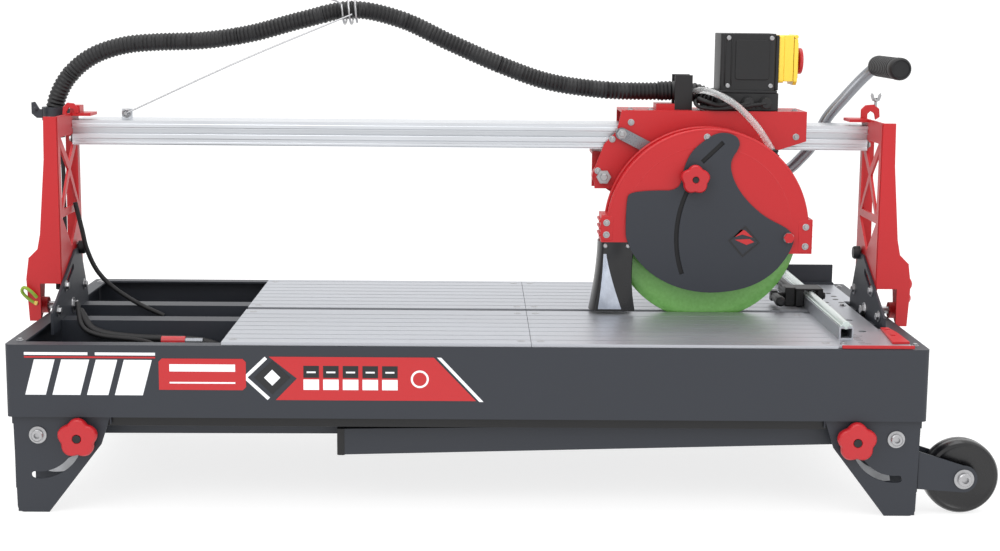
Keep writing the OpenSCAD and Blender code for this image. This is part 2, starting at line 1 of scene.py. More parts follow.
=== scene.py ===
"""Looks of a wet tile saw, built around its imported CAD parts.

Sizes are in millimetres from the middle of the water tray, on the floor, with X to the right,
Y to the back and Z up. put() turns them into metres in the part's own frame.
"""

import json
import math

import bmesh
import bpy
from mathutils import Matrix, Vector


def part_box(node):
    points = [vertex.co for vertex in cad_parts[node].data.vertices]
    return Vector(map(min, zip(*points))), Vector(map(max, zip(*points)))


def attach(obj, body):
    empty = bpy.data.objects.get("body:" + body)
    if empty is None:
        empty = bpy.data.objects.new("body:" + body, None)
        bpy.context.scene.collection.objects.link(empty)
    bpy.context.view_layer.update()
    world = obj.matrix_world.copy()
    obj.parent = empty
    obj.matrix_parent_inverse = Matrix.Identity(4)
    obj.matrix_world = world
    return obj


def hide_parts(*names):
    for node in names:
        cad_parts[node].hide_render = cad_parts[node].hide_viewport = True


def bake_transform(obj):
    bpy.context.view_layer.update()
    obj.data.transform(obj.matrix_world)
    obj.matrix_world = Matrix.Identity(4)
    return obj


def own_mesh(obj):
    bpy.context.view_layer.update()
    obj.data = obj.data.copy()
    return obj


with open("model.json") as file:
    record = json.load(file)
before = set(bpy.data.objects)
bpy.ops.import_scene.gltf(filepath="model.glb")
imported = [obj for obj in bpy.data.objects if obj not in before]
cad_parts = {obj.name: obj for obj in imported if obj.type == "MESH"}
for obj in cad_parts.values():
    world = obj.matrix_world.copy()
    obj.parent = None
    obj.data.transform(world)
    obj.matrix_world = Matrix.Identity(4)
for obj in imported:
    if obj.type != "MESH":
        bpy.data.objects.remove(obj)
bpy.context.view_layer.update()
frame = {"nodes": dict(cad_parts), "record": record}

MM = 0.001
TRAY_LOW, TRAY_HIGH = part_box("tray")
MIDDLE = (TRAY_LOW + TRAY_HIGH) / 2
BLADE_X, BLADE_Z = 316, 331
WHEEL_X, WHEEL_Y, WHEEL_Z = 616.5, 222, 47
LEG_X, LEG_Z = 529, 98
BRACKET_IN, BRACKET_OUT, UPRIGHT_IN = 536, 583, 542.4
TO_ROW = Matrix.Translation((MIDDLE.x, MIDDLE.y, 0)) @ Matrix.Scale(MM, 4)


def at(x, y, z):
    """A point in metres in the part's frame."""
    return TO_ROW @ Vector((x, y, z))


# ---- camera


def make_camera():
    """Camera in front of the saw, slightly above it."""
    pitch, yaw, roll = 0.1568, 0.0143, 0.009
    eye = at(8, -2270, 620)
    forward = Vector((math.sin(yaw) * math.cos(pitch), math.cos(yaw) * math.cos(pitch), -math.sin(pitch)))
    right = Vector((math.cos(yaw), -math.sin(yaw), 0))
    up = right.cross(forward)
    side = math.cos(roll) * right + math.sin(roll) * up
    top = math.cos(roll) * up - math.sin(roll) * right
    data = bpy.data.cameras.new("camera")
    data.sensor_width = 36
    data.lens = 60.73
    camera = bpy.data.objects.new("camera", data)
    turned = Matrix((side, top, -forward)).transposed().to_4x4()
    camera.matrix_world = Matrix.Translation(eye) @ turned
    bpy.context.scene.collection.objects.link(camera)
    bpy.context.scene.camera = camera


make_camera()


# ---- materials


def material(name, color, rough, metal=0.0, coat=0.0, grain=400, stretch=(1, 1, 1), shade=0.08,
             rough_range=0.12, bump=0.15, depth=0.0002, wash=None, transmission=0.0):
    """Principled surface whose colour, roughness and bump come from noise of the stated grain.

    shade is the spread of the colour, wash a second colour, and stretch draws the fine noise out along an axis.
    """
    made = bpy.data.materials.new(name)
    made.use_nodes = True
    nodes, links = made.node_tree.nodes, made.node_tree.links
    shader = nodes["Principled BSDF"]
    shader.inputs["Metallic"].default_value = metal
    shader.inputs["Coat Weight"].default_value = coat
    shader.inputs["Coat Roughness"].default_value = 0.12
    shader.inputs["Transmission Weight"].default_value = transmission
    place = nodes.new("ShaderNodeTexCoord")
    scaled = nodes.new("ShaderNodeMapping")
    scaled.inputs["Scale"].default_value = stretch
    links.new(place.outputs["Object"], scaled.inputs["Vector"])

    def noise(source, scale, detail):
        """Noise read at the source's places."""
        texture = nodes.new("ShaderNodeTexNoise")
        texture.inputs["Scale"].default_value = scale
        texture.inputs["Detail"].default_value = detail
        links.new(source, texture.inputs["Vector"])
        return texture.outputs["Fac"]

    fine = noise(scaled.outputs["Vector"], grain, 4)
    broad = noise(place.outputs["Object"], 9, 3)
    both = nodes.new("ShaderNodeMix")
    both.data_type = "FLOAT"
    both.inputs["Factor"].default_value = 0.45
    links.new(fine, both.inputs["A"])
    links.new(broad, both.inputs["B"])
    ramp = nodes.new("ShaderNodeValToRGB")
    ramp.color_ramp.elements[0].position = 0.3
    ramp.color_ramp.elements[1].position = 0.7
    light = wash or color
    ramp.color_ramp.elements[0].color = [c * (1 - shade) for c in color] + [1]
    ramp.color_ramp.elements[1].color = [min(1, c * (1 + shade)) for c in light] + [1]
    links.new(both.outputs["Result"], ramp.inputs["Fac"])
    links.new(ramp.outputs["Color"], shader.inputs["Base Color"])
    roughness = nodes.new("ShaderNodeMapRange")
    roughness.inputs["From Min"].default_value = 0.3
    roughness.inputs["From Max"].default_value = 0.7
    roughness.inputs["To Min"].default_value = max(0.03, rough - rough_range / 2)
    roughness.inputs["To Max"].default_value = min(1, rough + rough_range / 2)
    links.new(both.outputs["Result"], roughness.inputs["Value"])
    links.new(roughness.outputs["Result"], shader.inputs["Roughness"])
    bumped = nodes.new("ShaderNodeBump")
    bumped.inputs["Strength"].default_value = bump
    bumped.inputs["Distance"].default_value = depth
    links.new(fine, bumped.inputs["Height"])
    links.new(bumped.outputs["Normal"], shader.inputs["Normal"])
    return made


ALONG_X, ALONG_Y = (0.015, 1, 1), (1, 0.02, 1)
LOOKS = {
    "graphite_paint": dict(color=(0.019, 0.0225, 0.031), rough=0.5, grain=900),
    "red_paint": dict(color=(0.47, 0.006, 0.01), rough=0.42, grain=650, bump=0.06, shade=0.05),
    "table_aluminium": dict(color=(0.46, 0.475, 0.51), rough=0.42, metal=0.8, grain=300, stretch=ALONG_X,
                            shade=0.05, bump=0.06),
    "rail_aluminium": dict(color=(0.62, 0.64, 0.67), rough=0.36, metal=0.8, grain=300, stretch=ALONG_X,
                           shade=0.05, bump=0.05),
    "plated_steel": dict(color=(0.4, 0.4, 0.41), rough=0.32, metal=1.0, grain=300, shade=0.15),
    "handle_grey": dict(color=(0.22, 0.23, 0.25), rough=0.3, metal=0.7, coat=0.3, grain=500),
    "motor_paint": dict(color=(0.06, 0.065, 0.07), rough=0.5, grain=700, bump=0.25),
    "black_plastic": dict(color=(0.003, 0.003, 0.004), rough=0.5, grain=1500, bump=0.2),
    "black_rubber": dict(color=(0.002, 0.002, 0.003), rough=0.6, grain=900, bump=0.3, depth=0.0003),
    "red_plastic": dict(color=(0.46, 0.008, 0.014), rough=0.36, coat=0.1, grain=800, bump=0.1),
    "yellow_plastic": dict(color=(0.88, 0.6, 0.05), rough=0.38, coat=0.2, grain=800),
    "clear_hose": dict(color=(0.9, 0.92, 0.92), rough=0.16, coat=0.5, grain=200, bump=0.05, transmission=0.75,
                       rough_range=0.06, shade=0.03),
    "green_blade": dict(color=(0.12, 0.36, 0.06), rough=0.32, metal=0.2, coat=0.4, grain=260,
                        wash=(0.17, 0.42, 0.1)),
    "decal_white": dict(color=(0.85, 0.86, 0.88), rough=0.3, coat=0.1, grain=500, bump=0.05),
    "decal_red": dict(color=(0.48, 0.01, 0.014), rough=0.36, coat=0.1, grain=500, bump=0.05, shade=0.03),
    "decal_black": dict(color=(0.008, 0.008, 0.01), rough=0.4, grain=500, bump=0.05),
    "shiny_rubber": dict(color=(0.003, 0.003, 0.004), rough=0.3, coat=0.15, grain=300, bump=0.1),
    # pale metallic panel that paints the highlight on the black rubber flap
    "flap_highlight_paint": dict(color=(0.5, 0.54, 0.62), rough=0.22, metal=0.85, coat=0.4, grain=60, shade=0.25),
    "worn_steel": dict(color=(0.5, 0.51, 0.53), rough=0.5, metal=0.4, grain=40, shade=0.4),
    "pale_strip": dict(color=(0.55, 0.62, 0.6), rough=0.3, metal=0.4, coat=0.3, grain=500, stretch=ALONG_Y),
    "brass": dict(color=(0.6, 0.42, 0.12), rough=0.3, metal=1.0, grain=300),
    "earth_wire": dict(color=(0.42, 0.45, 0.02), rough=0.4, grain=120, wash=(0.1, 0.28, 0.03), shade=0.2),
}
MATERIALS = {name: material(name, **look) for name, look in LOOKS.items()}


def finish_cad_nodes():
    """Gives every CAD node its slot's material and a fine rounded edge."""
    slots = {part["node"]: part["material_slot"] for part in frame["record"]["subparts"]}
    edges = {"guard_shell": 2.2, "tray": 1.2, "leg_left": 2.5, "leg_right": 2.5, "motor_cover": 1.5,
             "side_cover": 0.8, "water_pump": 1.5, "conduit_clamp_right": 1.2}
    looks = {"limit_link": "handle_grey", "rail": "rail_aluminium"}
    for name, node in frame["nodes"].items():
        node.data.materials.clear()
        node.data.materials.append(MATERIALS[looks.get(name, slots[name])])
        round_edges(node, edges.get(name, 0.5))


def round_edges(obj, width):
    """Bevels the sharp edges of an object by width millimetres."""
    bevel = obj.modifiers.new("edges", "BEVEL")
    bevel.width = width * MM
    bevel.segments = 2
    bevel.limit_method = "ANGLE"
    bevel.angle_limit = math.radians(38)
    bevel.use_clamp_overlap = True
    bevel.harden_normals = False


finish_cad_nodes()


# ---- mesh tools


def loft(bm, rings, closed=False):
    """Joins rings of points with faces, and caps both ends unless the rings close on themselves."""
    loops = [[bm.verts.new(p) for p in ring] for ring in rings]
    n = len(loops[0])
    pairs = list(zip(loops, loops[1:])) + ([(loops[-1], loops[0])] if closed else [])
    for a, b in pairs:
        for k in range(n):
            bm.faces.new((a[k], a[(k + 1) % n], b[(k + 1) % n], b[k]))
    if not closed:
        bm.faces.new(list(reversed(loops[0])))
        bm.faces.new(loops[-1])


def basis(direction):
    """Two unit vectors square to a direction and to each other."""
    d = Vector(direction).normalized()
    u = d.cross(Vector((0, 0, 1)) if abs(d.z) < 0.9 else Vector((1, 0, 0))).normalized()
    return d, u, d.cross(u)


def lathe(bm, centre, axis, profile, steps=40, closed=False):
    """Turns (radius, distance along the axis) points about an axis through centre."""
    d, u, v = basis(axis)
    turns = [math.tau * k / steps for k in range(steps)]
    loft(bm, [[Vector(centre) + d * along + r * (u * math.cos(t) + v * math.sin(t)) for t in turns]
              for r, along in profile], closed)


def smooth_path(points, step):
    """Points about step apart along a smooth curve through the given ones."""
    pts = [Vector(p) for p in points]
    pts = [2 * pts[0] - pts[1]] + pts + [2 * pts[-1] - pts[-2]]
    path = []
    for a, b, c, d in zip(pts, pts[1:], pts[2:], pts[3:]):
        count = max(1, round((c - b).length / step))
        for k in range(count):
            t = k / count
            path.append(0.5 * (2 * b + (c - a) * t + (2 * a - 5 * b + 4 * c - d) * t * t
                               + (3 * b - a - 3 * c + d) * t ** 3))
    return path + [pts[-2]]


def tube(bm, path, radius, steps=14):
    """Round tube along a path. radius is a number, or a function of the distance along it."""
    rings, along = [], 0.0
    side = basis(path[1] - path[0])[1]
    for i, p in enumerate(path):
        d = (path[min(i + 1, len(path) - 1)] - path[max(i - 1, 0)]).normalized()
        side = (side - d * side.dot(d)).normalized()
        up = d.cross(side)
        if i:
            along += (p - path[i - 1]).length
        r = radius(along) if callable(radius) else radius
        turns = [math.tau * k / steps for k in range(steps)]
        rings.append([p + r * (side * math.cos(t) + up * math.sin(t)) for t in turns])
    loft(bm, rings)


def block(bm, low, high):
    """Box between two corners."""
    (x0, y0, z0), (x1, y1, z1) = low, high
    loft(bm, [[(x0, y0, z), (x1, y0, z), (x1, y1, z), (x0, y1, z)] for z in (z0, z1)])


def rounded_box(bm, low, high, r, axis=2):
    """Box whose four edges along an axis are rounded by r."""
    a, b = [i for i in range(3) if i != axis]
    ring = []
    for sa, sb, start in ((1, 1, 0), (0, 1, 90), (0, 0, 180), (1, 0, 270)):
        ca = high[a] - r if sa else low[a] + r
        cb = high[b] - r if sb else low[b] + r
        ring += arc(ca, cb, r, start, start + 90, 6)
    rings = []
    for level in (low[axis], high[axis]):
        loop = []
        for p, q in ring:
            point = [0, 0, 0]
            point[a], point[b], point[axis] = p, q, level
            loop.append(point)
        rings.append(loop)
    loft(bm, rings)


def plate(bm, outline, start, thickness, holes=(), plane="xz"):
    """Flat outline with holes, made thick along the axis that its plane leaves out."""
    spread = {"xz": lambda a, b: (a, start, b), "yz": lambda a, b: (start, a, b), "xy": lambda a, b: (a, b, start)}
    push = {"xz": (0, thickness, 0), "yz": (thickness, 0, 0), "xy": (0, 0, thickness)}
    edges = []
    for ring in (outline, *holes):
        verts = [bm.verts.new(spread[plane](a, b)) for a, b in ring]
        edges += [bm.edges.new((v, verts[(k + 1) % len(verts)])) for k, v in enumerate(verts)]
    made = bmesh.ops.triangle_fill(bm, use_beauty=True, edges=edges)
    faces = [g for g in made["geom"] if isinstance(g, bmesh.types.BMFace)]
    moved = bmesh.ops.extrude_face_region(bm, geom=faces, use_keep_orig=True)
    verts = [g for g in moved["geom"] if isinstance(g, bmesh.types.BMVert)]
    bmesh.ops.translate(bm, verts=verts, vec=push[plane])


def arc(x, z, r, start, end, count=16):
    """Points on an arc, from one angle to another in degrees."""
    turns = [math.radians(start + (end - start) * k / count) for k in range(count + 1)]
    return [(x + r * math.cos(t), z + r * math.sin(t)) for t in turns]


def band(x, z, inner, outer, start, end, count=16):
    """Outline between two arcs about the same centre."""
    return arc(x, z, outer, start, end, count) + list(reversed(arc(x, z, inner, start, end, count)))


def rounded_off(outline):
    """Outline whose corners are cut twice, so that it looks curved."""
    for _ in range(2):
        pairs = zip(outline, outline[1:] + outline[:1])
        outline = [(a[0] + (b[0] - a[0]) * t, a[1] + (b[1] - a[1]) * t) for a, b in pairs for t in (0.25, 0.75)]
    return outline


def circle(x, z, r, count=28):
    """Points on a whole circle."""
    return arc(x, z, r, 0, 360 * (count - 1) / count, count - 1)


def put(name, bm, body, slot, replaces=(), bevel=0.0, look=None, sharp=35):
    """Makes a piece that rides on a body from a mesh in millimetres.

    look names a material other than the slot's own, and bevel is the width of its rounded edges.
    """
    bmesh.ops.recalc_face_normals(bm, faces=bm.faces)
    bm.transform(TO_ROW)
    mesh = bpy.data.meshes.new(name)
    bm.to_mesh(mesh)
    bm.free()
    mesh.materials.append(MATERIALS[look or slot])
    mesh.shade_smooth()
    mesh.set_sharp_from_angle(angle=math.radians(sharp))
    obj = bpy.data.objects.new(name, mesh)
    bpy.context.scene.collection.objects.link(obj)
    if bevel:
        round_edges(obj, bevel)
    if body:
        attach(obj, body)
    if replaces:
        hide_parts(*replaces)
    return obj


def bolt(bm, seat, axis, r, washer=1.5):
    """Hexagon bolt head on a washer, whose head points along axis."""
    d, u, v = basis(axis)
    seat = Vector(seat)
    lathe(bm, seat, axis, [(washer * r, 0), (washer * r, 0.12 * r), (washer * r - 0.3, 0.2 * r)], 32)
    turns = [math.radians(60 * k) for k in range(6)]
    loft(bm, [[seat + d * along * r + s * r * (u * math.cos(t) + v * math.sin(t)) for t in turns]
              for s, along in ((1.0, 0.2), (1.0, 0.75), (0.86, 0.9))])


def cap_bolt(bm, seat, axis, r):
    """Round socket bolt on a wide washer."""
    lathe(bm, seat, axis, [(1.45 * r, 0), (1.45 * r, 0.14 * r), (1.0 * r, 0.2 * r), (1.0 * r, 0.7 * r),
                           (0.86 * r, 0.84 * r), (0.5 * r, 0.84 * r), (0.44 * r, 0.4 * r)], 32)


# ---- conduit

CONDUIT_Y = 56
CONDUIT_R = 12.5
CONDUIT_LINE = [(-570, 440), (-571, 462), (-570, 482), (-563, 503), (-550, 524), (-530, 543), (-505, 557),
                (-470, 567), (-430, 571), (-365, 574), (-300, 584), (-230, 603), (-163, 617), (-96, 604),
                (-30, 574), (40, 544), (105, 522), (175, 512), (230, 510), (290, 511)]
CONDUIT_HINGES = [(-570, 482), (-505, 565), (-380, 575), (-255, 592), (-145, 615), (-30, 575), (110, 522)]


def corrugated(along):
    """Radius of the conduit's ribs, 5.4 mm apart."""
    return CONDUIT_R - 0.9 + 0.9 * math.cos(math.tau * along / 5.4)


def make_conduit():
    """Corrugated conduit in stretches in place of its links, an end piece on the last link and a sleeve on the
    carriage.
    """
    path = smooth_path([(x, CONDUIT_Y, z) for x, z in CONDUIT_LINE], 1.35)
    nearest = [min(range(len(path)), key=lambda i: (path[i].x - x) ** 2 + (path[i].z - z) ** 2)
               for x, z in CONDUIT_HINGES]
    middles = [(a + b) // 2 for a, b in zip(nearest, nearest[1:])]
    last = next(i for i, p in enumerate(path) if p.x > 262)
    cuts = [0, *middles, (nearest[-1] + last) // 2]
    for i, (a, b) in enumerate(zip(cuts, cuts[1:])):
        bm = bmesh.new()
        tube(bm, path[a:b + 1], corrugated, 20)
        piece = put(f"conduit_tube_{i + 1}", bm, None, "black_plastic", [f"conduit_link_{i + 1}"], sharp=60)
        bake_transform(piece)
    bm = bmesh.new()
    tube(bm, path[cuts[-1]:last + 1], corrugated, 20)
    put("conduit_tube_end", bm, "conduit_7", "black_plastic", sharp=60)
    bm = bmesh.new()
    tail = smooth_path([(256, CONDUIT_Y, 510.5), (280, CONDUIT_Y, 511), (304, CONDUIT_Y, 509), (322, CONDUIT_Y, 503),
                        (334, CONDUIT_Y, 499)], 1.35)
    tube(bm, tail, lambda s: corrugated(s) + 1.2, 20)
    put("conduit_sleeve", bm, "carriage", "black_plastic", sharp=60)


def make_hanger():
    """Spring-wire arm with an eye, and the two loops of wire that hold the conduit."""
    pin, hoop = Vector((-470, 38, 475)), Vector((-162, 38, 611))
    reach = hoop - pin
    bm = bmesh.new()
    bend = [pin, pin + 0.5 * reach + Vector((0, 0, 3)), hoop]
    tube(bm, smooth_path(bend, 8), 1.1, 10)
    coil = [pin + Vector((5 * math.cos(t), 2 + 0.55 * t, 5 * math.sin(t)))
            for t in [k * math.tau / 16 for k in range(49)]]
    tube(bm, coil, 1.3, 8)
    lathe(bm, pin + Vector((0, -3, 0)), (0, 1, 0), [(2.5, 0), (2.5, 18)], 20)
    put("hanger_arm", bm, "hanger", "plated_steel", ["wire_hanger"])
    bm = bmesh.new()
    turns = [k * math.tau / 24 for k in range(55)]
    loops = [hoop + Vector((-14 + 9 * t / math.tau, 18 + 17.2 * math.cos(t + 2.6), 4 + 17.2 * math.sin(t + 2.6)))
             for t in turns]
    tube(bm, loops, 1.5, 10)
    tube(bm, smooth_path([loops[0], loops[0] + Vector((-8, -5, 5)), loops[0] + Vector((-15, -7, 7))], 3), 1.2, 8)
    put("hanger_loops", bm, "conduit_4", "plated_steel")


# ---- knobs, bolts and wheels


def lobed_knob(name, node, x, y, z, r, stud_end):
    """Five-lobed knob whose front faces -Y, with a plug in its recessed middle and a stud behind it."""
    turns = [math.tau * k / 80 for k in range(80)]

    def dish(radius, along):
        return [(x + radius * math.sin(t), y - along, z + radius * math.cos(t)) for t in turns]

    def lobed(scale, along):
        ring = []
        for t in turns:
            off = (t + math.pi / 5) % (math.tau / 5) - math.pi / 5
            lobe = 0.58 * math.cos(off) + math.sqrt(0.42 ** 2 - (0.58 * math.sin(off)) ** 2)
            reach = scale * r * (lobe ** 8 + 0.84 ** 8) ** 0.125 / 1.028
            ring.append((x + reach * math.sin(t), y - along, z + reach * math.cos(t)))
        return ring

    bm = bmesh.new()
    loft(bm, [dish(7, 0), dish(8, 3), lobed(0.84, 4), lobed(0.95, 5.2), lobed(1.0, 7.5), lobed(1.0, 13),
              lobed(0.97, 15), lobed(0.9, 16.6), lobed(0.78, 17), dish(0.24 * r, 17), dish(0.2 * r, 15.8),
              dish(0.19 * r, 8)])
    put(name, bm, node, "red_plastic", [node])
    bm = bmesh.new()
    lathe(bm, (x, y - 8.3, z), (0, 1, 0), [(3.2, 0), (3.4, 0.6), (4, 1.2), (4, stud_end - y + 8.3)], 24)
    put(name + "_stud", bm, node, "plated_steel")
    bm = bmesh.new()
    lathe(bm, (x, y - 16.4, z), (0, -1, 0), [(0.16 * r, 0), (0.2 * r, 0), (0.2 * r, 0.9), (0.16 * r, 0.5)], 32)
    lathe(bm, (x, y - 16.4, z), (0, -1, 0), [(0.17 * r, 0), (0.17 * r, 0.35)], 32)
    put(name + "_plug", bm, node, "black_plastic")


def make_knobs():
    """Knobs that lock the legs, and the knob of the swinging cover."""
    lobed_knob("leg_star_left", "leg_knob_left", -478, -246.6, 97, 24.6, -197.3)
    lobed_knob("leg_star_right", "leg_knob_right", 478, -246.6, 97, 24.6, -224.3)
    lobed_knob("cover_star", "cover_knob", 296, -47.4, 400, 19.5, -39.5)


def make_frame_bolts():
    """Leg bolts with wide washers, wheel bolts and the bolts of the tilt pivots."""
    bm = bmesh.new()
    for sx, inner in ((-1, 169), (1, 196)):
        for sy in (-1, 1):
            lathe(bm, (sx * LEG_X, sy * inner, LEG_Z), (0, sy, 0), [(5, 0), (5, 246.4 - inner)], 24)
            bolt(bm, (sx * LEG_X, sy * (inner + 3), LEG_Z), (0, -sy, 0), 8.5, 1.3)
            cap_bolt(bm, (sx * LEG_X, sy * 246.4, LEG_Z), (0, sy, 0), 7.4)
    for sy in (-1, 1):
        lathe(bm, (WHEEL_X, sy * WHEEL_Y - 25, WHEEL_Z), (0, 1, 0), [(6, 0), (6, 50)], 24)
        cap_bolt(bm, (WHEEL_X, sy * 244.1, WHEEL_Z), (0, sy, 0), 8.6)
        cap_bolt(bm, (WHEEL_X, sy * 199.9, WHEEL_Z), (0, -sy, 0), 8)
    put("leg_and_wheel_bolts", bm, "frame", "plated_steel", ["shoulder_bolts"])
    bm = bmesh.new()
    for s in (-1, 1):
        lathe(bm, (s * BRACKET_IN, -18, 220), (s, 0, 0), [(5, 0), (5, 48.4)], 24)
        bolt(bm, (s * BRACKET_IN, -18, 220), (-s, 0, 0), 7)
        cap_bolt(bm, (s * 583.3, -18, 220), (s, 0, 0), 8)
    put("tilt_bolts", bm, "frame", "plated_steel", ["tilt_pivot_bolts"])
    bm = bmesh.new()
    for s in (-1, 1):
        for y, z in ((-54, 252), (-100, 226), (48, 238)):
            bolt(bm, (s * BRACKET_IN, y, z), (-s, 0, 0), 5)
    put("bracket_bolts", bm, "frame", "plated_steel")


def make_foot_cheeks():
    """Inner cheek plates of the foot frames, and the strips that guide the legs behind the curved slots."""
    thick = 2
    for name, side, y, start, end in (("left", -1, 160, -100, 8), ("right", 1, 184, 172, 280)):
        outline = [(side * x, z) for x, z in ((556, 118), (478, 118), (478, 84), (522, 14), (556, 14))]
        for place, low in (("front", -y - thick), ("rear", y)):
            bm = bmesh.new()
            plate(bm, outline, low, thick, [circle(side * LEG_X, LEG_Z, 14)])
            put(f"foot_cheek_{name}_{place}", bm, "frame", "graphite_paint")
        bm = bmesh.new()
        plate(bm, band(side * LEG_X, 85, 42, 57, start, end, 24), -y - 2.6, 0.7)
        put(f"slot_guide_{name}", bm, "frame", "graphite_paint", look="worn_steel")


def make_wheels():
    """Rubber-tyred wheels with a deep dished disc, ribs and a hub."""
    for name, y in (("wheel_front", -WHEEL_Y), ("wheel_rear", WHEEL_Y)):
        bm = bmesh.new()
        lathe(bm, (WHEEL_X, y, WHEEL_Z), (0, 1, 0), [
            (36, -13), (40, -15), (44, -14), (46, -11), (46.6, -6), (46.6, -2), (46.2, 0), (46.6, 2), (46.6, 6),
            (46, 11), (44, 14), (40, 15), (36, 13), (34.5, 7), (33, 3), (33, -3), (34.5, -7)], 72)
        put(name + "_tyre", bm, name, "black_rubber", [name], look="shiny_rubber")
        bm = bmesh.new()
        lathe(bm, (WHEEL_X, y, WHEEL_Z), (0, 1, 0), [
            (14, -17), (13, -18), (8, -18), (8, 18), (13, 18), (14, 17), (15, 3), (26, 3), (27, 6), (31, 6),
            (33.4, 4), (33.4, -4), (31, -6), (27, -6), (26, -3), (15, -3)], 48)
        for k in range(6):
            t = math.radians(60 * k + 15)
            for s in (-1, 1):
                tip, root = [Vector((WHEEL_X + r * math.cos(t), y + s * out, WHEEL_Z + r * math.sin(t)))
                             for r, out in ((33, 5.5), (13, 8))]
                tube(bm, [root, (root + tip) / 2, tip], 2.4, 8)
        put(name + "_disc", bm, name, "black_plastic")


# ---- tray and table


def make_decals():
    """Plain coloured stripes and boxes on the tray's front, with no lettering."""
    front = -252.5
    boxes = [-202 + 24 * k for k in range(5)]
    bm = bmesh.new()
    for x0, x1 in ((-541, -464), (-455, -382)):
        block(bm, (x0, front - 0.3, 199.5), (x1, front + 0.2, 203))
    for x0, x1 in ((-541, -516), (-508, -474), (-466, -440), (-432, -398)):
        plate(bm, [(x0, 150), (x1, 150), (x1 + 12, 194), (x0 + 12, 194)], front - 0.3, 0.5)
    plate(bm, [(-276, 173), (-249, 199), (-246, 196), (-270, 173), (-243, 148), (-246, 145)], front - 0.3, 0.5)
    plate(bm, [(-39, 199), (-34, 199), (18, 144), (13, 144)], front - 0.3, 0.5)
    put("front_stripes_white", bm, "frame", "graphite_paint", look="decal_white")
    bm = bmesh.new()
    plate(bm, [(-378, 157), (-276, 157), (-272, 161), (-272, 192), (-276, 196), (-374, 196), (-378, 192)],
          front - 0.35, 0.5)
    plate(bm, [(-244, 199), (-43, 199), (9, 145), (-236, 145), (-210, 172)], front - 0.35, 0.5)
    block(bm, (-541, front - 0.35, 196), (-382, front + 0.2, 198))
    put("front_stripes_red", bm, "frame", "graphite_paint", look="decal_red")
    bm = bmesh.new()
    plate(bm, [(-262, 173), (-240, 152), (-218, 173), (-240, 194)], front - 0.5, 0.5)
    for x in boxes:
        block(bm, (x, front - 0.5, 173), (x + 19, front, 188))
    put("front_marks_black", bm, "frame", "graphite_paint", look="decal_black")
    bm = bmesh.new()
    for x in boxes:
        block(bm, (x, front - 0.5, 158), (x + 19, front, 171))
        block(bm, (x + 4, front - 0.7, 179), (x + 15, front, 181))
    plate(bm, circle(-60, 172, 11), front - 0.5, 0.5, [circle(-60, 172, 8.5)])
    block(bm, (-365, front - 0.5, 180), (-285, front, 189))
    block(bm, (-365, front - 0.5, 165), (-285, front, 167))
    plate(bm, [(-250, 173), (-240, 163), (-230, 173), (-240, 183)], front - 0.7, 0.4)
    put("front_marks_white", bm, "frame", "graphite_paint", look="decal_white")


def make_tray_details():
    """Rim bolts, the drain's plug, weld beads, black runners under the tray whose colour also paints the shade in
    the gap above the legs, and the folded legs' end caps.
    """
    bm = bmesh.new()
    for sx in (-1, 1):
        for sy in (-1, 1):
            bolt(bm, (sx * 553, sy * 224, 212), (0, 0, 1), 3)
    put("rim_bolts", bm, "frame", "plated_steel")
    bm = bmesh.new()
    lathe(bm, (560, 180, 136), (1, 0, 0), [(9.6, 0), (9.6, 5), (15, 5.2), (15, 9), (13.5, 10.5), (8, 10.8),
                                          (8, 16), (6.5, 17.5)], 40)
    put("drain_plug", bm, "frame", "black_plastic")
    bm = bmesh.new()
    for x in (-559.3, -440, 440, 559.3):
        for sy in (-1, 1):
            tube(bm, [Vector((x, sy * 244.5, z)) for z in (112, 117, 121.8)], 1.4, 8)
    put("foot_welds", bm, "frame", "graphite_paint")
    # Runners under the tray, in black so that they also paint the shade in the gap between the tray and the folded
    # legs.
    bm = bmesh.new()
    for s in (-1, 1):
        block(bm, (-450, s * 239.5 - 1.5, 109), (450, s * 239.5 + 1.5, 121.9))
    put("tray_runners_and_gap_shade", bm, "frame", "graphite_paint", look="black_plastic", bevel=0.5)
    for name, side, y, z0, z1 in (("left", 1, 172, 90, 114), ("right", -1, 199, 69, 102)):
        bm = bmesh.new()
        for s in (-1, 1):
            ya, yb = sorted((s * (y - 0.8), s * (y + 25.8)))
            rounded_box(bm, (side * 159 - 5, ya, z0 - 0.8), (side * 159 + 5, yb, z1 + 0.8), 2.5)
        put(f"leg_caps_{name}", bm, f"leg_{name}", "black_plastic", bevel=0.8)


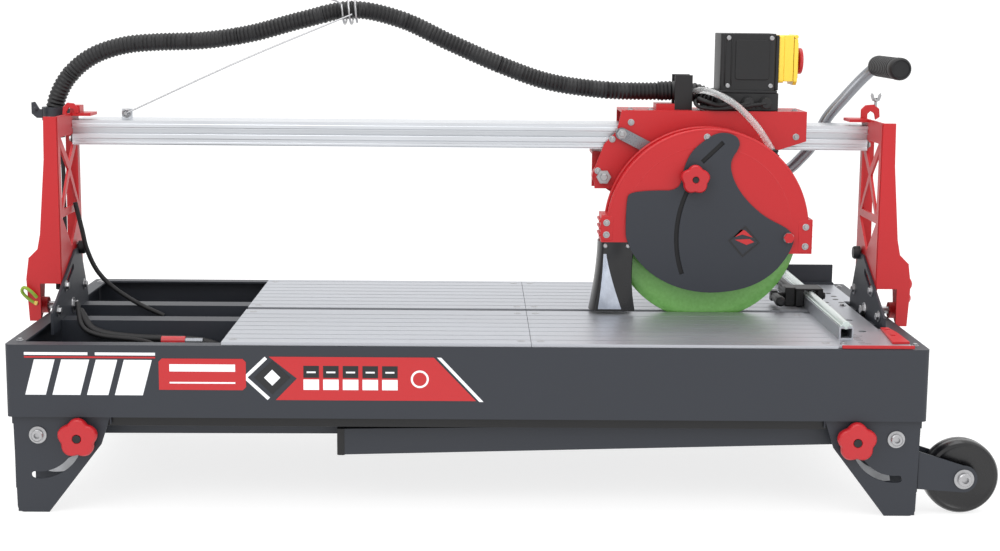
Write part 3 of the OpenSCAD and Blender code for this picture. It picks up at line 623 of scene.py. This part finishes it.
def make_pump_lines():
    """Pump's ribs and outlet, and its hose and cable along the tray to the left upright's foot."""
    bm = bmesh.new()
    tube(bm, smooth_path([(-340, -165, 155), (-322, -163, 160), (-316, -140, 170), (-330, -112, 184),
                          (-370, -104, 190), (-440, -102, 192), (-490, -96, 200), (-514, -74, 222)], 7), 5.5, 14)
    put("pump_hose", bm, "frame", "black_rubber")
    bm = bmesh.new()
    tube(bm, smooth_path([(-400, -165, 180), (-404, -150, 192), (-430, -128, 194), (-478, -112, 196),
                          (-505, -100, 206), (-518, -70, 232)], 6), 3.2, 12)
    put("pump_cable", bm, "frame", "black_rubber")
    bm = bmesh.new()
    lathe(bm, (-400, -165, 181), (0, 0, 1), [(18, 0), (18, 3), (15, 5), (6, 5.5), (6, 9), (4.5, 10)], 32)
    for k in range(18):
        t = math.tau * k / 18
        x, y = -400 + 26 * math.cos(t), -165 + 26 * math.sin(t)
        tube(bm, [Vector((x, y, z)) for z in (127, 140, 160)], 1.2, 8)
    put("pump_ribs", bm, "frame", "red_plastic")
    bm = bmesh.new()
    lathe(bm, (-374, -165, 168), (0, 0, 1), [(9, 0), (9, 16), (13, 17), (13, 24), (8, 25), (8, 32)], 32)
    tube(bm, [Vector((x, -165, 200)) for x in (-390, -374, -360)], 6.5, 20)
    put("pump_outlet", bm, "frame", "red_plastic")
    bm = bmesh.new()
    tube(bm, [Vector((x, -165, 200)) for x in (-360.5, -350, -338)], 4.4, 20)
    put("pump_tail", bm, "frame", "handle_grey")


def make_earth_lead():
    """Short striped earth lead with its lug, outside the left upright's foot."""
    bm = bmesh.new()
    tube(bm, smooth_path([(-576, -62, 230), (-585, -64, 237), (-591, -67, 246), (-587, -70, 252), (-578, -69, 246),
                          (-572, -66, 238)], 3), 2.2, 12)
    put("earth_lead", bm, "bridge", "black_plastic", look="earth_wire")
    bm = bmesh.new()
    lathe(bm, (-574, -60.2, 230), (0, -1, 0), [(5, 0), (5, 1.2), (3, 1.4), (3, 3.6), (2.2, 4.2)], 24)
    put("earth_screw", bm, "bridge", "plated_steel", look="brass")


def make_table_details():
    """Measuring marks and holes, red edge, mitre stop, the fence's strip and countersunk screws."""
    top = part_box("scale_plate")[1].z / MM
    bm = bmesh.new()
    for k in range(44):
        y = -232 + 10 * k
        if not -24 < y < -4:
            length = 14 if k % 5 == 0 else 8
            block(bm, (482.5, y, top - 0.1), (482.5 + length, y + 0.9, top + 0.15))
    for k in range(5):
        for x in (498, 520):
            lathe(bm, (x + 3 * (k % 2), 40 + 26 * k, top - 0.1), (0, 0, 1), [(4.2, 0), (4.2, 0.3), (3.8, 0.35)], 24)
    put("scale_marks", bm, "frame", "table_aluminium", look="decal_black")
    bm = bmesh.new()
    block(bm, (457, -249.9, 212.6), (546, -248.6, 216.8))
    put("scale_edge", bm, "frame", "red_paint", bevel=0.3)
    bm = bmesh.new()
    holes = [circle(536, -150, 3.4), circle(533, -190, 3.4)]
    plate(bm, [(530, -137), (540, -137), (543.5, -170), (544, -232), (522, -234), (526, -190)],
          top, 3.2, holes, plane="xy")
    put("mitre_stop", bm, "frame", "red_paint", bevel=0.5)
    bm = bmesh.new()
    for x in (463.2, 474.2):
        block(bm, (x, -203, 231.3), (x + 4.6, 219, 233.2))
    tube(bm, [Vector((471, y, 233)) for y in (-203, 8, 219)], 5.2, 20)
    put("fence_strip", bm, "frame", "table_aluminium", bevel=0.4, look="pale_strip")
    bm = bmesh.new()
    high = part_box("table_plate_front_left")[1].z / MM
    for x in (-290, 64, 88, 440):
        for y in (-232, -40, 12, 210):
            lathe(bm, (x, y, high - 0.3), (0, 0, 1), [(5, 0), (5, 0.45), (4.5, 0.6), (2.4, 0.6), (2.2, 0.2)], 24)
    for x, y in ((456, -232), (536, 232), (500, 180), (512, 40)):
        bolt(bm, (x + 6, y, top), (0, 0, 1), 3)
    put("table_screws", bm, "frame", "plated_steel")


def make_side_stop():
    """Sliding stop that straddles the fence and its strip, and the clamping lever's grip."""
    bm = bmesh.new()
    block(bm, (450, 24, 216.7), (461.7, 62, 239.5))
    block(bm, (480.3, 24, 216.7), (488, 62, 239.5))
    block(bm, (450, 24, 238.8), (488, 62, 241.4))
    block(bm, (436, 28, 216.7), (450.5, 58, 242.3))
    block(bm, (448, 61.5, 216.7), (454, 150, 238.3))
    put("stop_body", bm, "side_stop", "black_plastic", ["side_stop"], bevel=1.2)
    bm = bmesh.new()
    for z in (222, 228, 234):
        tube(bm, [Vector((447.4, y, z)) for y in (66, 105, 146)], 1.1, 8)
    bolt(bm, (489.8, 43, 229), (1, 0, 0), 5)
    put("stop_ribs", bm, "side_stop", "black_plastic")
    bm = bmesh.new()
    lathe(bm, (422.6, -14, 229.3), (0, 1, 0), [(4, 0), (6.6, 2), (7.4, 8), (6.2, 22), (5.6, 44)], 28)
    put("stop_lever_grip", bm, "stop_lever", "black_plastic")


for make in (make_conduit, make_hanger, make_knobs, make_frame_bolts, make_foot_cheeks, make_wheels, make_decals,
             make_tray_details, make_pump_lines, make_earth_lead, make_table_details, make_side_stop):
    make()


# ---- bridge


def make_rail_details():
    """Lips along both faces of the rail, and the bolts of the uprights."""
    bm = bmesh.new()
    for z0, z1, out in ((434.5, 438.5, 1.6), (442, 449, 2.4), (457, 462.5, 1.6)):
        block(bm, (-539, 20 - out, z0), (539, 20.4, z1))
        block(bm, (-539, 91.6, z0), (539, 92 + out, z1))
    put("rail_lips", bm, "bridge", "table_aluminium", bevel=0.9, look="rail_aluminium")
    bm = bmesh.new()
    for s in (-1, 1):
        for y, z in ((30, 441), (30, 459)):
            bolt(bm, (s * UPRIGHT_IN, y, z), (s, 0, 0), 3.6)
        for y, z in ((-30, 268), (40, 268), (0, 286)):
            bolt(bm, (s * UPRIGHT_IN, y, z), (s, 0, 0), 3.2)
        for y, z in ((-46, 236), (-44, 276)):
            bolt(bm, (s * BRACKET_OUT, y, z), (s, 0, 0), 3.4)
    put("upright_bolts", bm, "bridge", "plated_steel")


def make_hooks():
    """Hooks on the uprights' tops, the transport lock's wing screw and the conduit's clip."""
    bm = bmesh.new()
    plate(bm, [(534, 474), (534, 488), (540, 494), (552, 495), (559, 489), (560, 478), (554, 474),
               (552, 483), (547, 486), (543, 482), (543, 474)], 42, 4)
    plate(bm, [(-552, 474), (-551, 484), (-545, 490), (-536, 489), (-530, 482), (-530, 474), (-536, 474),
               (-537, 481), (-543, 483), (-546, 478), (-546, 474)], 20, 3)
    put("bridge_hooks", bm, "bridge", "red_paint", bevel=0.8)
    bm = bmesh.new()
    lathe(bm, (554, 44, 486), (0, 0, 1), [(2, 0), (2, 13), (3.6, 13.5), (3.6, 17), (1.6, 18)], 20)
    for s in (-1, 1):
        plate(bm, [(554 + s * 2, 500), (554 + s * 3, 508), (554 + s * 6, 511), (554 + s * 7.5, 507),
                   (554 + s * 5, 500)], 43, 2)
    put("transport_wing_screw", bm, "bridge", "plated_steel", bevel=0.5)
    bm = bmesh.new()
    plate(bm, [(-597, 474), (-597, 489), (-592, 490), (-586, 480), (-582, 480), (-582, 468), (-590, 468)], 34, 3)
    lathe(bm, (-592, 33.6, 480), (0, -1, 0), [(4, 0), (4, 1), (2.4, 1.2), (2.4, 3)], 20)
    put("conduit_clip", bm, "bridge", "graphite_paint", bevel=0.6)


def make_upright_cables():
    """Two cables down the left upright, and the motor's lead that runs on into the tray."""
    bm = bmesh.new()
    tube(bm, smooth_path([(-571, 56, 443), (-572, 50, 428), (-566, 30, 414), (-562, 10, 380), (-560, 0, 330),
                          (-556, -10, 280), (-552, -30, 244)], 8), 3.6, 12)
    tube(bm, smooth_path([(-569, 60, 443), (-566, 60, 420), (-558, 40, 404), (-553, 20, 360), (-550, 6, 300),
                          (-548, -20, 250)], 8), 2.8, 12)
    put("upright_cables", bm, "bridge", "black_rubber")
    bm = bmesh.new()
    tube(bm, smooth_path([(-536, 10, 356), (-528, 12, 318), (-523, 14, 292), (-510, 15, 262), (-488, 16, 238),
                          (-454, 15, 216), (-420, 14, 200)], 6), 3.2, 12)
    lead = put("motor_lead", bm, None, "black_rubber")
    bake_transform(lead)


def make_tilt_locks():
    """Caps inside the uprights and the handles outside, which clamp the bridge's tilt."""
    bm = bmesh.new()
    for s in (-1, 1):
        lathe(bm, (s * 539, 30, 292), (-s, 0, 0), [(4, 0), (9, 2), (9, 9), (7.6, 11), (3, 11.4)], 28)
    put("tilt_lock_caps", bm, "bridge", "black_plastic")
    bm = bmesh.new()
    for z, r in ((262, 9), (243, 8)):
        lathe(bm, (BRACKET_OUT, -44, z), (-0.2, -1, 0), [(r * 0.6, -2), (r, 3), (r, 12), (r * 0.7, 16)], 28)
    put("tilt_lock_handles", bm, "bridge", "red_paint")


# ---- carriage


def make_carriage_details():
    """Screws of the carriage, and the wires into the switch box with their gland nuts."""
    bm = bmesh.new()
    for x, z in ((191, 447), (172, 404), (440, 452), (216, 470)):
        bolt(bm, (x, 12, z), (0, -1, 0), 3)
    bolt(bm, (180, 6.4, 396), (0, -1, 0), 5.6)
    bolt(bm, (203, -0.6, 455), (0, -1, 0), 4)
    for x in (232, 425):
        bolt(bm, (x, 97, 474.8), (0, 1, 0), 5)
    for x in (216, 244, 310, 440):
        bolt(bm, (x, 30, 486), (0, 0, 1), 3.2)
    put("carriage_screws", bm, "carriage", "plated_steel")
    bm = bmesh.new()
    tube(bm, smooth_path([(318, 30, 498), (308, 20, 502), (316, 11, 499), (334, 9, 494), (352, 10, 497)], 4), 3, 12)
    tube(bm, smooth_path([(318, 34, 494), (312, 22, 491), (326, 12, 489.6), (352, 9, 492), (376, 10, 497)], 4),
         3, 12)
    tube(bm, smooth_path([(318, 40, 500), (304, 26, 498), (310, 14, 491), (340, 8.6, 489.4), (398, 10, 497)], 4),
         2.6, 12)
    put("switch_cables", bm, "carriage", "black_rubber")
    bm = bmesh.new()
    for x in (350, 374, 398):
        lathe(bm, (x, 18, 497), (0, -1, 0), [(8.4, 0), (8.4, 3.4), (7.4, 3.6), (7.4, 8.6), (6.6, 9.6), (4, 10)], 24)
    put("gland_nuts", bm, "carriage", "black_plastic")


def make_switch():
    """Switch box with its lid's seam and screws, ribbed base, yellow housing and red button."""
    bm = bmesh.new()
    rounded_box(bm, (336, 20, 510.4), (411, 86, 590), 5)
    block(bm, (333.5, 17.5, 510.4), (413.5, 88.5, 514))
    for x in (341, 350):
        block(bm, (x, 18.8, 520), (x + 1.6, 20.6, 584))
    rounded_box(bm, (356, 18.6, 528), (402, 20.6, 582), 4, axis=1)
    block(bm, (411, 24, 514), (415.6, 82, 588))
    put("switch_case", bm, "carriage", "black_plastic", ["switch_box"], bevel=1.0)
    bm = bmesh.new()
    rounded_box(bm, (332, 18, 486.2), (416, 88, 510.2), 4)
    for x in range(340, 412, 9):
        block(bm, (x, 17, 489), (x + 3, 18.4, 492.6))
    put("switch_foot", bm, "carriage", "black_plastic", ["switch_base"], bevel=0.8)
    bm = bmesh.new()
    for x, z in ((346.5, 520), (404.5, 520), (346.5, 584), (404.5, 584)):
        lathe(bm, (x, 20, z), (0, -1, 0), [(3.2, 0), (3.2, 0.8), (2.6, 1.4), (1, 1.4)], 20)
    put("switch_screws", bm, "carriage", "plated_steel")
    bm = bmesh.new()
    rounded_box(bm, (415.6, 26, 524), (423, 80, 588), 4, axis=0)
    for y in (26, 74):
        block(bm, (423, y, 526), (435.6, y + 6, 588))
    block(bm, (423, 32, 526), (435.6, 74, 532))
    block(bm, (423, 32, 583), (435.6, 74, 588))
    put("switch_housing", bm, "carriage", "yellow_plastic", bevel=0.8)
    bm = bmesh.new()
    outline = [(27, 526), (34, 521), (72, 521), (79, 526), (79, 583), (27, 583)]
    plate(bm, outline, 436.4, 5.2, [circle(53, 553, 9.2)], plane="yz")
    tube(bm, [Vector((439.2, y, 586)) for y in (27, 53, 79)], 2.8, 18)
    for y in (31, 72):
        block(bm, (441.4, y, 530), (443, y + 3, 578))
    put("switch_flap", bm, "switch_cover", "yellow_plastic", ["switch_cover"], bevel=0.7)
    bm = bmesh.new()
    lathe(bm, (430, 53, 553), (1, 0, 0), [(7, 0), (8.8, 1.4), (8.8, 15.6), (15, 15.8), (17.6, 17), (18, 19),
                                         (17.2, 21), (14, 22), (6, 22.1)], 40)
    for k in range(3):
        t = math.tau * k / 3
        tube(bm, [Vector((452, 53 + 9 * math.cos(t + d), 553 + 9 * math.sin(t + d))) for d in (0, 0.5, 1.0)], 0.9, 8)
    put("stop_mushroom", bm, "stop_button", "red_plastic", ["stop_button"])


# ---- head


def make_guard_details():
    """Rolled rims and side lugs of the guard, its screws and rivets, and the water spout."""
    bm = bmesh.new()
    for y in (-43.4, 0.4):
        ring = [Vector((BLADE_X + 133 * math.cos(t), y + 1.5, BLADE_Z + 133 * math.sin(t)))
                for t in [math.radians(-4 + 188 * k / 60) for k in range(61)]]
        tube(bm, ring, 2.4, 12)
    ring = [Vector((BLADE_X + 112 * math.cos(t), -42.9, BLADE_Z + 112 * math.sin(t)))
            for t in [math.radians(4 + 172 * k / 50) for k in range(51)]]
    tube(bm, ring, 1.3, 10)
    for x0, x1, z0, z1 in ((173, 190, 316, 349), (437, 455, 301, 345)):
        rounded_box(bm, (x0, -44.35, z0), (x1, -40, z1), 4, axis=1)
        for k in range(3):
            z = z0 + 7 + k * (z1 - z0 - 14) / 2
            block(bm, (x0 - 1.6, -43, z - 1.6), (x1 + 1.6, 3, z + 1.6))
    put("guard_ribs", bm, "head", "red_paint", bevel=0.9)
    bm = bmesh.new()
    for x, z in ((312, 455), (181, 340), (181, 324), (447, 336), (447, 310)):
        bolt(bm, (x, -44.3, z), (0, -1, 0), 3)
    for x in (180, 210):
        for y, out in ((-44.6, -1), (4.6, 1)):
            lathe(bm, (x, y, 309), (0, out, 0), [(3, 0), (3, 0.6), (2.2, 1.6), (1, 1.8)], 24)
    lathe(bm, (424, -47.3, 322), (0, -1, 0), [(7, 0), (7, 1)], 24)
    lathe(bm, (261.8, 10.6, 425), (0, 1, 0), [(3.4, 0), (3.4, 0.6), (2.4, 1.1)], 24)
    put("guard_screws", bm, "head", "plated_steel")
    bm = bmesh.new()
    lathe(bm, (404, -20, 426), (0.15, 0, 1), [(8, 0), (8, 5), (5.4, 6), (5.4, 9), (6.2, 10), (4.9, 12)], 24)
    put("water_spout", bm, "head", "black_plastic")


def make_cover_details():
    """Smooth outline of the swinging cover with its two slots, dark sheets behind them that paint the shade seen
    through the slots, and a plain square mark.
    """
    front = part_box("side_cover")[0].y / MM - MIDDLE.y / MM
    outline = [(206, 326), (207, 374), (212, 381), (240, 384), (277, 384), (281, 412), (291, 436), (310, 452),
               (325, 461), (341, 461), (353, 455), (356, 443), (343, 424), (346, 404), (357, 383), (375, 363),
               (396, 347), (424, 334), (432, 321), (429, 309), (420, 292), (406, 275), (385, 260), (357, 250),
               (316, 246), (277, 253), (243, 270), (219, 294), (209, 314)]
    swing = (424, 322)
    reach = math.hypot(128, 78)
    long_slot = band(*swing, reach - 3, reach + 3, 148.6, 199.5, 30)
    c, d = math.cos(math.radians(44)), math.sin(math.radians(44))

    def leaning(points):
        """Points along and across the short slot, from its lower end."""
        return [(306 + a * c - b * d, 422 + a * d + b * c) for a, b in points]

    short_slot = leaning(((0, -3), (38, -3), (38, 3), (0, 3)))
    bm = bmesh.new()
    plate(bm, rounded_off(outline), front, 2.45, [long_slot, short_slot, circle(*swing, 4.06)])
    put("cover_plate", bm, "side_cover", "graphite_paint", ["side_cover"], bevel=0.5)
    # Dark sheets behind the slots: painted shade seen through them.
    bm = bmesh.new()
    plate(bm, band(*swing, reach - 7, reach + 7, 147, 201, 30), front + 2.62, 0.3, [circle(296, 400, 5)])
    plate(bm, leaning(((-4, -6), (46, -7), (46, 7), (-4, 6))), front + 2.62, 0.3)
    put("slot_painted_shade", bm, "head", "black_rubber")
    bm = bmesh.new()
    square = [(343, 318), (366, 338), (386, 315), (363, 295)]
    inner = [(346.5, 317.8), (365.8, 334.4), (382.5, 315.2), (363.2, 298.6)]
    plate(bm, square, front - 0.4, 0.6, [inner])
    put("cover_mark_dark", bm, "side_cover", "graphite_paint", look="decal_black")
    bm = bmesh.new()
    plate(bm, [(350, 322), (362, 326), (376, 322), (366, 331), (360, 333)], front - 0.4, 0.6)
    plate(bm, [(352, 319), (368, 312), (378, 316), (372, 320)], front - 0.4, 0.6)
    put("cover_mark_red", bm, "side_cover", "graphite_paint", look="decal_red")


def make_flap():
    """Rubber skirt around the blade's front, which flares to the left, with a hollow face and a pale glossy panel on
    it that paints the highlight on the rubber.
    """
    top, drop, wall = 314, 93.5, 2.2

    def station(v):
        """Plan outline at height share v from the top, as (x, y) points from the front around the left."""
        left = 171 - 11 * v ** 1.7
        right = 218 - 4 * math.sin(math.pi * v) + 3 * v
        hollow = 6.5 * math.sin(math.pi * min(1, 0.25 + 0.75 * v)) ** 2
        front = [(right - (right - left - 8) * k / 12, -43.9 + hollow * math.sin(math.pi * k / 12))
                 for k in range(13)]
        side = [(left + 12 - 12 * math.sin(t), -20 - 24 * math.cos(t)) for t in
                [math.radians(12 + 156 * k / 12) for k in range(13)]]
        back = [(left + 8 + (right - left - 8) * k / 4, 3.9) for k in range(1, 5)]
        return front + side + back

    bm = bmesh.new()
    rings = []
    for j in range(21):
        line = [Vector((x, y, top - drop * j / 20)) for x, y in station(j / 20)]
        inside = []
        for i, q in enumerate(line):
            d = line[min(i + 1, len(line) - 1)] - line[max(i - 1, 0)]
            inside.append(q + wall * Vector((-d.y, d.x, 0)).normalized() * -1)
        rings.append(line + list(reversed(inside)))
    loft(bm, rings)
    flap = put("rubber_flap", bm, "head", "black_rubber", ["splash_flap"], look="shiny_rubber", sharp=50)
    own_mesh(flap)

    def across(front, x):
        """Y of the front's line at x."""
        for (x0, y0), (x1, y1) in zip(front, front[1:]):
            if x1 <= x <= x0:
                return y0 + (y1 - y0) * (x0 - x) / (x0 - x1)
        return front[0][1]

    # Pale glossy panel on the flap's front: a painted highlight on the black rubber.
    rings = []
    for j in range(17):
        v = 0.17 + 0.8 * j / 16
        front = station(v)[:13]
        low, high = 178 - 7 * v ** 2, 181 + 27 * (v - 0.12) ** 1.3
        ring = []
        for offset in (-0.45, 0.3):
            xs = [low + (high - low) * k / 6 for k in range(7)]
            row = [(x, across(front, x) + offset, top - drop * v) for x in xs]
            ring += row if offset < 0 else list(reversed(row))
        rings.append(ring)
    bm = bmesh.new()
    loft(bm, rings)
    highlight_panel = put("flap_painted_highlight", bm, "head", "black_rubber", look="flap_highlight_paint", sharp=50)
    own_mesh(highlight_panel)


def make_hose():
    """Clear hose from the conduit's end to the guard's spout."""
    line = [(298, 50, 507), (306, 44, 511), (313, 33, 513), (321, 20, 512), (331, 6, 509), (343, -4, 503),
            (357, -10, 493), (371, -14, 480), (384, -17, 465), (395, -19, 449), (404, -20, 434)]
    path = smooth_path(line, 4)
    bm = bmesh.new()
    tube(bm, path, 4.5, 16)
    hose = put("clear_water_hose", bm, None, "clear_hose", ["water_hose"], sharp=60)
    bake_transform(hose)


def make_handle():
    """Bent handle tube with its clamp on the motor, and a ribbed rubber grip."""
    bm = bmesh.new()
    tube(bm, smooth_path([(374, 108, 366), (408, 108, 380), (446, 108, 397), (466, 108, 415), (483, 108, 436),
                          (501, 108, 472), (524, 108, 500), (545, 107, 524), (559, 102, 539), (565.4, 92, 545.4),
                          (566, 74, 546), (566, 60.5, 546)], 4), 8, 20)
    put("handle_bar", bm, "head", "handle_grey", ["handle_tube"], sharp=60)
    bm = bmesh.new()
    plate(bm, band(BLADE_X, BLADE_Z, 57.4, 66, 12, 44, 12), 98, 11)
    rounded_box(bm, (364, 97, 350), (386, 118, 374), 4, axis=1)
    put("handle_clamp", bm, "head", "handle_grey", bevel=1.0)
    bm = bmesh.new()
    profile = [(8.2, 0), (12.5, 0.6), (14.2, 3)]
    for k in range(11):
        start = 8 + 9.4 * k
        profile += [(14.6, start), (14.6, start + 5.6), (13.2, start + 6.8), (13.2, start + 8.2)]
    profile += [(14.4, 113), (15, 116), (15, 128), (14, 131.6), (12.6, 133.4), (11.6, 133.4), (11, 132.2), (3, 132)]
    lathe(bm, (566, 94, 546), (0, -1, 0), profile, 40)
    put("rubber_grip", bm, "head", "black_rubber", ["handle_grip"])


def make_motor():
    """Motor case with cooling fins, a terminal box and its cable gland."""
    bm = bmesh.new()
    profile = [(50, 8.4), (51, 9), (51, 18), (56, 19), (56, 26)]
    for k in range(11):
        start = 28 + 6.4 * k
        profile += [(53.4, start), (53.4, start + 2.6), (57, start + 3.4), (57, start + 5.6)]
    profile += [(56.4, 106), (56.4, 109.8), (12, 109.8)]
    lathe(bm, (BLADE_X, 0, BLADE_Z), (0, 1, 0), profile, 64)
    put("motor_case", bm, "head", "motor_paint", ["motor_body"])
    bm = bmesh.new()
    for k in range(4):
        t = math.radians(45 + 90 * k)
        bolt(bm, (BLADE_X + 44 * math.cos(t), 144.4, BLADE_Z + 44 * math.sin(t)), (0, 1, 0), 3.4)
    put("motor_screws", bm, "head", "plated_steel")
    bm = bmesh.new()
    rounded_box(bm, (262, 112, 372), (300, 140, 392), 4, axis=1)
    lathe(bm, (268, 126, 384), (-1, 0, 0.2), [(7, 0), (7, 9), (5, 10), (5, 14)], 24)
    put("motor_terminal_box", bm, "head", "black_plastic", bevel=0.8)


def make_blade():
    """Blade with a recessed body, a continuous rim and a hub flange."""
    profile = [(12.7, -0.9), (30.2, -0.9), (113, -0.9), (114.5, -1.2), (124.4, -1.2), (125, -0.8), (125, 0.8),
               (124.4, 1.2), (114.5, 1.2), (113, 0.9), (30.2, 0.9), (12.7, 0.9)]
    bm = bmesh.new()
    lathe(bm, (BLADE_X, -18, BLADE_Z), (0, 1, 0), profile, 128, closed=True)
    put("diamond_blade", bm, "blade_shaft", "green_blade", ["blade"])


for make in (make_rail_details, make_hooks, make_upright_cables, make_tilt_locks, make_carriage_details, make_switch,
             make_guard_details, make_cover_details, make_flap, make_hose, make_handle, make_motor, make_blade):
    make()


# ---- studio


def lamp(name, where, aim, size, power):
    """Square softbox that faces a point."""
    data = bpy.data.lights.new(name, "AREA")
    data.size = size
    data.energy = power
    obj = bpy.data.objects.new(name, data)
    obj.location = where
    obj.rotation_euler = (Vector(aim) - Vector(where)).to_track_quat("-Z", "Y").to_euler()
    bpy.context.scene.collection.objects.link(obj)


def make_studio():
    """White sweep, a bright world and three softboxes."""
    scene = bpy.context.scene
    scene.view_settings.view_transform = "Standard"
    world = bpy.data.worlds.new("studio")
    world.use_nodes = True
    world.node_tree.nodes["Background"].inputs["Color"].default_value = (1, 1, 1, 1)
    world.node_tree.nodes["Background"].inputs["Strength"].default_value = 1.0
    scene.world = world
    bm = bmesh.new()
    bend, turn = 1.2, 3.2
    section = [(-4.5, 0), (turn, 0)]
    section += [(turn + bend * math.sin(a), bend - bend * math.cos(a)) for a in
                [math.radians(9 * k) for k in range(1, 11)]]
    section.append((turn + bend, 4.5))
    rows = [[bm.verts.new((x, y, z - 0.0005)) for y, z in section] for x in (-6, 6)]
    for k in range(len(section) - 1):
        bm.faces.new((rows[0][k], rows[1][k], rows[1][k + 1], rows[0][k + 1]))
    mesh = bpy.data.meshes.new("studio_floor")
    bm.to_mesh(mesh)
    bm.free()
    mesh.shade_smooth()
    paper = material("floor_paper", (0.3, 0.3, 0.3), 0.9, grain=60, bump=0.02, shade=0.01)
    shader = paper.node_tree.nodes["Principled BSDF"]
    shader.inputs["Emission Color"].default_value = (1, 1, 1, 1)
    shader.inputs["Emission Strength"].default_value = 0.78
    mesh.materials.append(paper)
    floor = bpy.data.objects.new("studio_floor", mesh)
    scene.collection.objects.link(floor)
    lamp("key", (-1.4, -1.9, 2.4), (0, 0, 0.3), 1.8, 26)
    lamp("fill", (1.9, -1.7, 1.5), (0, 0, 0.3), 1.5, 12)
    lamp("top", (0, 0.3, 2.6), (0, 0, 0), 2.4, 30)


make_studio()
